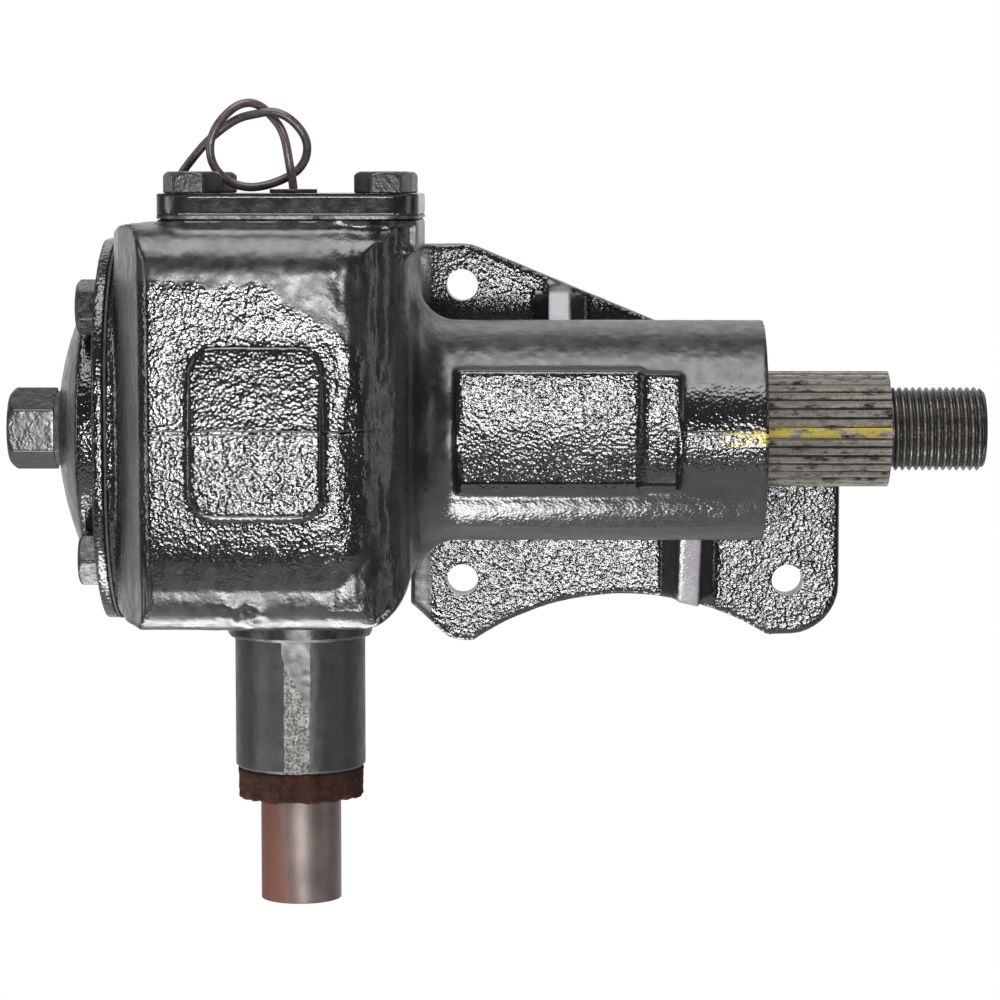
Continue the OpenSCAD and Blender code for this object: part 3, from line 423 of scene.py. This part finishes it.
def plain(name, tone, other, rough, grain, depth):
    """Two close tones with a fine grain."""
    f = Finish(name)
    f.colour(f.mix(f.between(f.noise(grain * 4, 3.0), 0.35, 0.65), rgb(*tone), rgb(*other)))
    f.set("Roughness", f.between(f.noise(grain * 2, 2.0), 0.3, 0.7, rough * 0.8, min(1.0, rough * 1.2)))
    f.bump(f.noise(grain, 3.0), depth)
    return f.material


FINISHES = {
    "housing": enamel("cast_enamel_zones", 0.125),
    "end_cover": enamel("end_cover_enamel", 0.05, 0.4),
    "cap_nut": enamel("cap_nut_enamel", 0.10, 0.35),
    "painted_steel": painted_steel("painted_steel", (0.011, 0.0105, 0.010)),
    "sector": shaft_steel("sector_shaft_steel"),
    "steering": rusty_steel("steering_shaft_steel"),
    "felt": felt("dust_felt"),
    "gasket": plain("oiled_paper", (0.010, 0.009, 0.008), (0.030, 0.024, 0.018), 0.7, 0.5, 0.05),
    "washer": plain("washer_fibre", (0.012, 0.011, 0.010), (0.05, 0.04, 0.03), 0.6, 0.6, 0.05),
    "shim": machined("shim_steel", (0.10, 0.10, 0.10), 0.4, (0.02, 0.018, 0.016)),
    "wire": plain("wire_cover", (0.034, 0.031, 0.031), (0.066, 0.045, 0.043), 0.33, 0.7, 0.05),
    "ferrule": plain("ferrule_rubber", (0.010, 0.009, 0.009), (0.03, 0.026, 0.024), 0.55, 0.6, 0.06),
    "terminal": machined("tinned_brass", (0.42, 0.40, 0.34), 0.3, (0.20, 0.16, 0.10)),
    "steel": machined("plain_steel", (0.42, 0.42, 0.42), 0.32, (0.25, 0.24, 0.23)),
    "gear": machined("ground_steel", (0.52, 0.52, 0.53), 0.22, (0.36, 0.36, 0.36), stretch=(1.0, 1.0, 4.0)),
    "bronze": machined("bush_bronze", (0.50, 0.32, 0.13), 0.3, (0.32, 0.19, 0.08)),
    "rubber": plain("seal_rubber", (0.010, 0.010, 0.010), (0.022, 0.021, 0.020), 0.6, 0.5, 0.04),
}


def wear(obj, finish):
    obj.data.materials.clear()
    obj.data.materials.append(FINISHES[finish])


CAD_FINISHES = {
    "side_cover_gasket": "gasket", "adjuster_screw": "steel", "adjuster_washer": "washer",
    "end_cover_shims": "shim", "horn_tube": "steel", "horn_wire_inner": "wire",
    "horn_wire_terminal": "terminal", "steering_shaft_bushing": "bronze", "steering_shaft": "steering",
    "worm": "gear", "end_bearing_cone": "gear", "end_bearing_rollers": "gear", "end_bearing_cage": "bronze",
    "end_bearing_cup": "gear", "neck_bearing_cone": "gear", "neck_bearing_rollers": "gear",
    "neck_bearing_cage": "bronze", "neck_bearing_cup": "gear", "roller": "gear", "roller_pin": "gear",
    "roller_needles": "gear", "roller_washers": "bronze", "sector_bushing_inner": "bronze",
    "sector_bushing_outer": "bronze", "sector_seal": "rubber",
}
for cad_name, finish in CAD_FINISHES.items():
    wear(nodes[cad_name], finish)
wear(wire, "wire")


# Mesh helpers

def mesh_object(name, bm):
    mesh = bpy.data.meshes.new(name)
    bm.to_mesh(mesh)
    bm.free()
    return link(bpy.data.objects.new(name, mesh))


def rod(bm, place, axis, length, r, r_end=None, segments=96):
    """Closed round bar from a place along an axis, in millimetres."""
    turn = Vector((0, 0, 1)).rotation_difference(Vector(axis)).to_matrix().to_4x4()
    middle = Matrix.Translation(millimetres(place)) @ turn @ Matrix.Translation((0, 0, length / 2 * MM))
    bmesh.ops.create_cone(bm, cap_ends=True, segments=segments, radius1=r * MM,
                          radius2=(r if r_end is None else r_end) * MM, depth=length * MM, matrix=middle)


def bar(bm, low, high):
    """Closed box between two corners, in millimetres."""
    low, high = millimetres(low), millimetres(high)
    size = Matrix.Diagonal((*(high - low), 1.0))
    bmesh.ops.create_cube(bm, size=1.0, matrix=Matrix.Translation((low + high) / 2) @ size)


def prism(bm, low_ring, high_ring):
    """Closed prism between two outlines of as many corners, in millimetres."""
    low = [bm.verts.new(millimetres(corner)) for corner in low_ring]
    high = [bm.verts.new(millimetres(corner)) for corner in high_ring]
    count = len(low)
    for k in range(count):
        bm.faces.new((low[k], low[(k + 1) % count], high[(k + 1) % count], high[k]))
    bm.faces.new(low[::-1])
    bm.faces.new(high)


def baked(obj):
    """Replaces an object's mesh by the result of its modifiers."""
    shown = obj.evaluated_get(bpy.context.evaluated_depsgraph_get())
    mesh = bpy.data.meshes.new_from_object(shown)
    obj.modifiers.clear()
    obj.data = mesh
    return obj


def combined(obj, tool, operation):
    """Joins, cuts or trims an object with another, which is then deleted."""
    step = obj.modifiers.new("shape", "BOOLEAN")
    step.solver = "MANIFOLD"
    step.operation = operation
    step.object = tool
    baked(obj)
    bpy.data.objects.remove(tool)
    return obj


def rounded_copy(node, name, voxel, passes, plugs=None):
    """Copy of a CAD node with its edges rounded, as a casting or thick enamel rounds them."""
    bm = bmesh.new()
    bm.from_mesh(nodes[node].data)
    if plugs:
        plugs(bm)
    obj = mesh_object(name, bm)
    remesh = obj.modifiers.new("remesh", "REMESH")
    remesh.mode = "VOXEL"
    remesh.voxel_size = voxel * MM
    smooth = obj.modifiers.new("smooth", "SMOOTH")
    smooth.factor = 0.5
    smooth.iterations = passes
    return baked(obj)


def vertex_places(mesh):
    """Places in millimetres and normals of all vertices."""
    places = np.empty(len(mesh.vertices) * 3)
    mesh.vertices.foreach_get("co", places)
    normals = np.empty(len(mesh.vertices) * 3)
    mesh.vertex_normals.foreach_get("vector", normals)
    return places.reshape(-1, 3) / MM, normals.reshape(-1, 3)


def move_vertices(mesh, places):
    mesh.vertices.foreach_set("co", (places * MM).ravel())
    mesh.update()


def step_between(value, low, high):
    """Smooth step from 0 at low to 1 at high."""
    share = np.clip((value - low) / (high - low), 0.0, 1.0)
    return share * share * (3 - 2 * share)


def noise_at(places, size, stretch=(1.0, 1.0, 1.0), seed=0.0):
    """Noise between -1 and 1 at each place, with the given size in millimetres."""
    scaled = places * (np.array(stretch) / size) + seed
    return np.array([noise.noise(p) for p in scaled.tolist()])


def shade_smooth(obj, angle=None):
    mesh = obj.data
    mesh.polygons.foreach_set("use_smooth", np.ones(len(mesh.polygons), dtype=bool))
    if angle:
        mesh.set_sharp_from_angle(angle=math.radians(angle))


def add_attribute(mesh, name, values):
    made = mesh.attributes.new(name, "FLOAT", "POINT")
    made.data.foreach_set("value", np.ascontiguousarray(values, dtype=np.float32))


def finish_piece(obj, body, node, finish, angle=None):
    shade_smooth(obj, angle)
    wear(obj, finish)
    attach(obj, body)
    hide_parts(node)


# Housing casting

def housing_plugs(bm):
    """Discs that close the openings while the edges are rounded, and fillets beside the gussets."""
    rod(bm, (SIDE_X, SECTOR_Y, 0), (1, 0, 0), 6, CAVITY_R + 1)
    rod(bm, (TUBE_END - 6, SECTOR_Y, 0), (1, 0, 0), 6, SEAL_R + 1)
    rod(bm, (WORM_X, WORM_Y, BODY_TOP - 6), (0, 0, 1), 6, WORM_BORE_R + 1)
    rod(bm, (WORM_X, WORM_Y, COLLAR_Z - 6), (0, 0, 1), 8, NECK_BORE_R + 1)
    for place in SIDE_BOLTS:
        rod(bm, place, (1, 0, 0), BOLT_HOLE_L + 1, BOLT_HOLE_R + 0.6, segments=24)
    for place in END_BOLTS:
        rod(bm, place, (0, 0, -1), BOLT_HOLE_L + 1, BOLT_HOLE_R + 0.6, segments=24)
    for x, z in FLANGE_HOLES:
        rod(bm, (x, -FLANGE_T, z), (0, 1, 0), FLANGE_T, FLANGE_HOLE_R + 0.8, segments=32)
    wide_y, narrow_y = -FLANGE_T + 0.5, -15.8
    for x, low, high in ((UPPER_RIB_X, RIB_FOOT, UPPER_RIB_END), (LOWER_RIB_X, LOWER_RIB_END, -RIB_FOOT)):
        outline = [(x - 8, wide_y), (x + 8, wide_y), (x + 2.8, narrow_y), (x - 2.8, narrow_y)]
        prism(bm, [(*corner, low) for corner in outline], [(*corner, high) for corner in outline])


def crisp_neck():
    """Machined neck with a chamfer at its end, and a keyway whose upper end is full of enamel."""
    chamfer = 0.9
    bm = bmesh.new()
    length = COLLAR_Z + 4 - NECK_Z - chamfer
    rod(bm, (WORM_X, WORM_Y, NECK_Z + chamfer), (0, 0, 1), length, NECK_R, segments=160)
    neck = mesh_object("neck", bm)
    bm = bmesh.new()
    rod(bm, (WORM_X, WORM_Y, NECK_Z), (0, 0, 1), chamfer + 0.01, NECK_R - chamfer, NECK_R, segments=160)
    combined(neck, mesh_object("neck_end", bm), "UNION")
    bm = bmesh.new()
    bar(bm, (WORM_X - KEY_W / 2, WORM_Y - NECK_R - 2, NECK_Z - 2),
        (WORM_X + KEY_W / 2, WORM_Y - NECK_R + KEY_DEPTH, COLLAR_Z - 0.1))
    combined(neck, mesh_object("keyway", bm), "DIFFERENCE")
    bm = bmesh.new()
    low_y, high_y = WORM_Y - NECK_R - 0.12, WORM_Y - NECK_R + KEY_DEPTH + 1.0
    prism(bm, [(x, low_y, z) for x, z in DRIP], [(x, high_y, z) for x, z in DRIP])
    bmesh.ops.recalc_face_normals(bm, faces=bm.faces)
    return combined(neck, mesh_object("enamel_drip", bm), "UNION")


def cut_housing(obj):
    """Cuts the cavity, the bores and the bolt holes."""
    cutters = [
        ((SIDE_X - 2, SECTOR_Y, 0), (1, 0, 0), CAVITY_END - SIDE_X + 2, CAVITY_R),
        ((CAVITY_END - 1, SECTOR_Y, 0), (1, 0, 0), TUBE_END - CAVITY_END + 3, BORE_R),
        ((SEAL_X, SECTOR_Y, 0), (1, 0, 0), TUBE_END - SEAL_X + 2, SEAL_R),
        ((WORM_X, WORM_Y, CUP_SEAT), (0, 0, 1), BODY_TOP - CUP_SEAT + 2, WORM_BORE_R),
        ((WORM_X, WORM_Y, NECK_Z - 2), (0, 0, 1), CUP_SEAT - NECK_Z + 3, NECK_BORE_R),
    ]
    cutters += [((x - 2, y, z), (1, 0, 0), BOLT_HOLE_L + 2, BOLT_HOLE_R) for x, y, z in SIDE_BOLTS]
    cutters += [((x, y, z + 2), (0, 0, -1), BOLT_HOLE_L + 2, BOLT_HOLE_R) for x, y, z in END_BOLTS]
    cutters += [((x, -FLANGE_T - 4, z), (0, 1, 0), FLANGE_T + 8, FLANGE_HOLE_R) for x, z in FLANGE_HOLES]
    for place, axis, length, r in cutters:
        bm = bmesh.new()
        rod(bm, place, axis, length, r)
        combined(obj, mesh_object("cutter", bm), "DIFFERENCE")


def roughen_housing(mesh):
    """Uneven cast surface, runs of thick enamel, leaning pads and the lump beside the neck."""
    p, n = vertex_places(mesh)
    x, y, z = p.T
    facing = np.clip(-n[:, 1], 0, 1)
    smooth_faces = (
        step_between(z, BODY_TOP - 0.4, BODY_TOP - 1.2) * step_between(x, SIDE_X + 0.4, SIDE_X + 1.2)
        * step_between(x, TUBE_END - 0.4, TUBE_END - 1.2) * step_between(y, -0.3, -1.0)
    )
    swell = noise_at(p, 6.0) * 0.09 + noise_at(p, 2.6, seed=7.0) * 0.03
    right_front = step_between(x, -36, -26) * step_between(x, -9, -14) * step_between(y, -112, -122)
    long_runs = noise_at(p, 9.0, (2.2, 2.2, 0.55), seed=3.0) * 0.45
    runs = long_runs + noise_at(p, 3.2, (1.6, 1.6, 0.6), seed=11.0) * 0.22
    on_tube_pad = step_between(x, -0.5, 1.0) * step_between(x, TUBE_PAD_END + 1.5, TUBE_PAD_END)
    on_tube_pad *= step_between(y, TUBE_PAD_Y, TUBE_PAD_Y - 1.0)
    tube_lean = -0.0042 * np.clip(12 - z, 0, 40) ** 2 * on_tube_pad
    turn = -0.009 * np.clip(x + 34, 0, 18) ** 2 - 0.006 * np.clip(-14 - z, 0, 20) ** 2
    turn = np.maximum(turn, -2.6) * step_between(y, -110, -122) * facing * (x < -9)
    lump = np.exp(-((x + 51) / 6.0) ** 2 - ((z + 41) / 3.5) ** 2) * step_between(y, -112, -120)
    lumps = lump * (0.5 + 0.9 * noise_at(p, 2.2, seed=5.0))
    away = smooth_faces * (swell + runs * right_front * facing + lumps + tube_lean + turn)
    moved = p + n * away[:, None]
    on_pad = (x > FRONT_PAD_X[0]) & (x < FRONT_PAD_X[1]) & (y < FRONT_Y - 0.1)
    on_pad &= (z > FRONT_PAD_Z[0]) & (z < FRONT_PAD_Z[1])
    share = np.where(z > 5, 0.75 - 0.0275 * (z - 5), 0.75 + 0.004 * (5 - z))
    moved[:, 1] = np.where(on_pad, FRONT_Y + (moved[:, 1] - FRONT_Y) * share, moved[:, 1])
    move_vertices(mesh, moved)


def grain_share(p, toward_front):
    """Share of cast grain, full on the front, the pads and the flange and slight on the smooth enamel."""
    x, y, z = p.T
    facing = step_between(toward_front, 0.55, 0.9)
    ragged = noise_at(p, 3.0, seed=6.0) * 1.6 + noise_at(p, 9.0, seed=8.0) * 1.5
    brow = np.where(x < BROW_X, BROW_Z, BROW_Z - (x - BROW_X) * 0.66) + ragged
    front = (step_between(y, FRONT_Y + 3.4, FRONT_Y + 1.6) * step_between(x, -81.5, -79.0)
             * step_between(x + ragged, -17.0, -22.0) * step_between(z, brow + 2.0, brow - 2.0)
             * step_between(z + ragged, -41.0, -38.0) * (0.3 + 0.7 * step_between(z + ragged, -30.0, -20.0)))
    runny = step_between(x, -34, -28) * step_between(y, -118, -124) * 0.26
    front = np.maximum(front * (0.78 + 0.3 * step_between(z, 8, 0)), runny)
    plate = step_between(y, -13.5, -10.6) * step_between(x, -10.0, -7.0)
    pad = step_between(x, -1.5, 0.5) * step_between(y, TUBE_PAD_Y + 1.5, TUBE_PAD_Y)
    beside_pad = step_between(x, TUBE_PAD_END, TUBE_PAD_END + 3.0)
    band = beside_pad * step_between(np.abs(z - SEAM_TUBE_Z), 15.0, 8.0)
    under_tube = step_between(z, -9.0, -15.0) * step_between(y, -20.0, -26.0) * 0.45
    band = np.maximum(band, under_tube / np.maximum(facing, 0.01))
    rest = np.maximum(np.maximum(plate, pad), band) * facing
    grain = np.where(x < BODY_RIGHT_X, 0.06 + 0.94 * front, 0.08 + 0.92 * rest)
    grain = np.clip(grain * (1.0 + 0.2 * noise_at(p, 14.0, seed=2.0)), 0.04, 1.1)
    grain[(z < BODY_BOTTOM - 0.3) & (y < -70)] = 0.02
    grain[x < SIDE_X + 4.2] = 1.1
    return grain


def gusset_painted_reflection(p, n):
    """Share of the pale painted reflection on the front slopes of the two gussets, dimmer on the lower one as
    painted shade.
    """
    x, y, z = p.T
    upper = step_between(np.abs(x - UPPER_RIB_X), 3.9, 3.0) * step_between(z, RIB_FOOT, RIB_FOOT + 2)
    lower = step_between(np.abs(x - LOWER_RIB_X), 3.6, 2.6) * step_between(z, -RIB_FOOT, -RIB_FOOT - 2)
    # The lower gusset gets a smaller share of the painted reflection: painted shade
    rib = np.maximum(upper, lower * 0.6) * step_between(np.abs(n[:, 0]), 0.6, 0.3)
    rib *= step_between(y, -14.0, -17.0) * step_between(y, -46, -42)
    return rib * step_between(-n[:, 1], 0.1, 0.3)


def housing_zones(mesh):
    """Shares of cast grain, parting line, painted gusset reflection, bare neck, keyway and yellow paint at
    each vertex.
    """
    p, n = vertex_places(mesh)
    x, y, z = p.T
    add_attribute(mesh, "grain", grain_share(p, -n[:, 1]))
    seam_x = np.maximum(step_between(x, -16, -22), step_between(x, 52, 58))
    add_attribute(mesh, "seam", step_between(-n[:, 1], 0.6, 0.9) * step_between(y, -60, -70) * seam_x)
    # The pale attribute holds the painted reflection on the gusset slopes
    add_attribute(mesh, "pale", gusset_painted_reflection(p, n))
    neck = (z < COLLAR_Z - 0.01) & (np.hypot(x - WORM_X, y - WORM_Y) < NECK_R + 0.05)
    in_key = neck & (np.abs(x - WORM_X) < KEY_W / 2 + 0.01)
    key_floor = in_key & (np.abs(y - WORM_Y + NECK_R - KEY_DEPTH) < 0.02)
    add_attribute(mesh, "bare", neck.astype(float))
    add_attribute(mesh, "key", key_floor.astype(float))
    smear = step_between(x, 68.0, 72.0) * step_between(np.abs(z + 0.6 - 0.05 * (x - 76)), 2.4, 1.2)
    add_attribute(mesh, "yellow", smear * step_between(y, -74, -77))


def add_housing():
    """Rounded casting with a crisp collar and neck, cut by its bores."""
    casting = rounded_copy("housing", "housing_casting", 0.8, 3, plugs=housing_plugs)
    roughen_housing(casting.data)
    bm = bmesh.new()
    bar(bm, (WORM_X - 20, WORM_Y - 20, NECK_Z - 2), (WORM_X + 20, WORM_Y + 20, COLLAR_Z - 0.02))
    combined(casting, mesh_object("rounded_neck", bm), "DIFFERENCE")
    bm = bmesh.new()
    chamfer = 0.8
    rod(bm, (WORM_X, WORM_Y, COLLAR_Z + chamfer), (0, 0, 1), 4.0, COLLAR_R, segments=128)
    combined(casting, mesh_object("collar", bm), "UNION")
    bm = bmesh.new()
    rod(bm, (WORM_X, WORM_Y, COLLAR_Z), (0, 0, 1), chamfer + 0.01, COLLAR_R - chamfer, COLLAR_R, segments=128)
    combined(casting, mesh_object("collar_edge", bm), "UNION")
    combined(casting, crisp_neck(), "UNION")
    cut_housing(casting)
    housing_zones(casting.data)
    finish_piece(casting, "gearbox", "housing", "housing", angle=40)


add_housing()


# Covers, bolts and nut under enamel

def make_uneven(mesh, relief, lean=0.0):
    """Moves the surface by a gentle noise, and leans the front back by a share of its height."""
    p, n = vertex_places(mesh)
    moved = p + n * (noise_at(p, 4.0, seed=1.0) * relief)[:, None]
    moved[:, 1] += lean * (p[:, 2] - p[:, 2].min()) * np.clip(-n[:, 1], 0, 1)
    move_vertices(mesh, moved)


def add_rounded(node, name, voxel, passes, finish, relief=0.0, lean=0.0):
    """Enamelled copy of a CAD node with rounded edges."""
    obj = rounded_copy(node, name, voxel, passes)
    if relief:
        make_uneven(obj.data, relief, lean)
    finish_piece(obj, "gearbox", node, finish)


def add_side_cover():
    """Side cover with a smooth dome and cast grain on the edge of its flange."""
    obj = rounded_copy("side_cover", "side_cover_casting", 0.7, 3)
    p, n = vertex_places(obj.data)
    reach = np.hypot(p[:, 1] - SECTOR_Y, p[:, 2])
    rim = step_between(reach, 35.0, 38.0) * step_between(np.abs(n[:, 0]), 0.85, 0.6)
    make_uneven(obj.data, 0.05)
    add_attribute(obj.data, "grain", 0.25 + 0.85 * rim)
    finish_piece(obj, "gearbox", "side_cover", "housing")


add_side_cover()
add_rounded("end_cover", "end_cover_plate", 0.5, 2, "end_cover", 0.03, lean=0.10)
add_rounded("side_cover_bolts", "side_cover_screws", 0.35, 2, "painted_steel")
add_rounded("end_cover_bolts", "end_cover_screws", 0.35, 2, "painted_steel")
add_rounded("adjuster_cap_nut", "adjuster_dome_nut", 0.35, 2, "cap_nut")
add_rounded("horn_tube_ferrule", "horn_tube_grommet", 0.2, 2, "ferrule")


# Sector shaft with a helical nut thread

def thread_mesh(bm):
    """Closed rod with a helical groove and a chamfer at its end."""
    around = 72
    per_pitch = 12
    chamfer = 1.3
    start = THREAD_X - 0.6
    rows = int((THREAD_END - start) / THREAD_PITCH * per_pitch)
    rings = []
    for i in range(rows + 1):
        x = start + (THREAD_END - start) * i / rows
        limit = THREAD_R - max(0.0, chamfer - (THREAD_END - x))
        deep = step_between(np.array(x), THREAD_X + 0.6, THREAD_X - 0.2).item()
        ring = []
        for k in range(around):
            angle = 2 * math.pi * k / around
            phase = (x / THREAD_PITCH - k / around) % 1.0
            flank = min(1.0, max(0.0, (abs(phase - 0.5) - 0.08) / 0.34))
            r = THREAD_R - THREAD_DEPTH * max(1.0 - flank, deep)
            r = min(r, limit)
            ring.append(bm.verts.new(millimetres((x, SECTOR_Y + r * math.cos(angle), r * math.sin(angle)))))
        rings.append(ring)
    for low, high in zip(rings, rings[1:]):
        for k in range(around):
            bm.faces.new((low[k], low[(k + 1) % around], high[(k + 1) % around], high[k]))
    bm.faces.new(rings[0][::-1])
    bm.faces.new(rings[-1])


def add_sector_shaft():
    """CAD shaft up to its nut thread, with a helical thread in place of the round grooves."""
    bm = bmesh.new()
    bm.from_mesh(nodes["sector_shaft"].data)
    bmesh.ops.remove_doubles(bm, verts=bm.verts, dist=0.001 * MM)
    cut = bmesh.ops.bisect_plane(bm, geom=bm.verts[:] + bm.edges[:] + bm.faces[:],
                                 plane_co=((THREAD_X - 0.4) * MM, 0, 0), plane_no=(1, 0, 0), clear_outer=True)
    bmesh.ops.holes_fill(bm, edges=[e for e in cut["geom_cut"] if isinstance(e, bmesh.types.BMEdge)])
    thread_mesh(bm)
    bmesh.ops.recalc_face_normals(bm, faces=bm.faces)
    obj = mesh_object("sector_shaft_turned", bm)
    finish_piece(obj, "sector", "sector_shaft", "sector", angle=32)


add_sector_shaft()


# Dust seal of frayed felt

def add_dust_seal():
    """Felt ring with an uneven outside and a ragged lower edge."""
    obj = rounded_copy("neck_dust_seal", "neck_felt_ring", 0.4, 4)
    p, n = vertex_places(obj.data)
    x, y, z = p.T
    outside = step_between(np.hypot(x - WORM_X, y - WORM_Y), 11.5, 13.0)
    low = step_between(z, NECK_Z - 4.0, NECK_Z - 7.0)
    away = (noise_at(p, 1.6) * 0.30 + noise_at(p, 4.5, seed=4.0) * 0.35) * outside
    ragged = noise_at(p, 3.2, (1.0, 1.0, 0.1), seed=9.0) * low * outside
    moved = p + n * away[:, None]
    moved[:, 2] -= ragged * 0.8 - 0.2 * low
    move_vertices(obj.data, moved)
    finish_piece(obj, "gearbox", "neck_dust_seal", "felt")


add_dust_seal()


# Studio

def add_world():
    """White for the camera. Shiny faces see a white wall behind the object and a dim room before it."""
    world = bpy.data.worlds.new("studio")
    bpy.context.scene.world = world
    world.use_nodes = True
    tree = world.node_tree
    back = tree.nodes["Background"]
    path = tree.nodes.new("ShaderNodeLightPath")
    split = tree.nodes.new("ShaderNodeSeparateXYZ")
    tree.links.new(tree.nodes.new("ShaderNodeTexCoord").outputs["Generated"], split.inputs[0])
    room = tree.nodes.new("ShaderNodeMapRange")
    room.interpolation_type = "SMOOTHSTEP"
    tree.links.new(split.outputs["Y"], room.inputs["Value"])
    for name, number in (("From Min", 0.05), ("From Max", 1.0), ("To Min", ROOM_LIGHT), ("To Max", 1.0)):
        room.inputs[name].default_value = number
    level = tree.nodes.new("ShaderNodeMix")
    level.data_type = "FLOAT"
    tree.links.new(path.outputs["Is Glossy Ray"], level.inputs["Factor"])
    level.inputs["A"].default_value = FILL_LIGHT
    tree.links.new(room.outputs["Result"], level.inputs["B"])
    seen = tree.nodes.new("ShaderNodeMath")
    seen.operation = "MAXIMUM"
    tree.links.new(path.outputs["Is Camera Ray"], seen.inputs[0])
    tree.links.new(path.outputs["Is Transmission Ray"], seen.inputs[1])
    strength = tree.nodes.new("ShaderNodeMath")
    strength.operation = "MAXIMUM"
    tree.links.new(seen.outputs[0], strength.inputs[0])
    tree.links.new(level.outputs["Result"], strength.inputs[1])
    back.inputs["Color"].default_value = (1.0, 1.0, 1.0, 1.0)
    tree.links.new(strength.outputs[0], back.inputs["Strength"])


def add_lamps():
    """Two lamps in the mirror direction of the front faces, and soft boxes on the other sides."""
    for name, place, wide, high, power in (
            ("front_left", (-125, -960, -42), 0.13, 0.12, 2.7),
            ("front_right", (95, -960, -112), 0.22, 0.17, 3.6),
            ("overhead", (-20, -450, 900), 0.8, 0.75, 12.5),
            ("behind_high", (0, 650, 800), 1.0, 0.5, 1.4),
            ("below", (-75, -120, -300), 0.12, 0.25, 1.4),
            ("left", (-900, -450, 120), 0.25, 0.9, 3.2),
            ("right", (900, -350, 160), 0.25, 0.9, 1.2)):
        data = bpy.data.lights.new(name, "AREA")
        data.shape = "RECTANGLE"
        data.size = wide
        data.size_y = high
        data.energy = power
        light = link(bpy.data.objects.new(name, data))
        light.visible_camera = False
        aim(light, place, LIGHT_AIM)


def add_floor():
    """Pale floor that fades to white away from the object for the camera."""
    bm = bmesh.new()
    corners = [(sx * FLOOR_HALF, sy * FLOOR_HALF, FLOOR_Z) for sx, sy in ((-1, -1), (1, -1), (1, 1), (-1, 1))]
    bm.faces.new([bm.verts.new(millimetres(corner)) for corner in corners])
    floor = mesh_object("floor", bm)
    finish = Finish("floor_paper", rough=0.9)
    paper = finish.mix(finish.noise(60.0, 2.0), rgb(0.62, 0.62, 0.62), rgb(0.66, 0.66, 0.66))
    away = finish.node("ShaderNodeVectorMath", operation="LENGTH")
    finish.put(away.inputs[0], finish.coords)
    path = finish.node("ShaderNodeLightPath")
    finish.colour(paper)
    fade = finish.node("ShaderNodeMixShader")
    far = finish.between(away.outputs["Value"], FLOOR_FADE[0] * MM, FLOOR_FADE[1] * MM)
    finish.put(fade.inputs[0], finish.math("MULTIPLY", path.outputs["Is Camera Ray"], far))
    finish.put(fade.inputs[1], finish.shader.outputs[0])
    finish.put(fade.inputs[2], finish.node("ShaderNodeEmission").outputs[0])
    finish.put(finish.tree.nodes["Material Output"].inputs["Surface"], fade.outputs[0])
    floor.data.materials.append(finish.material)


add_world()
add_lamps()
add_floor()

bpy.context.scene.view_settings.view_transform = "Standard"
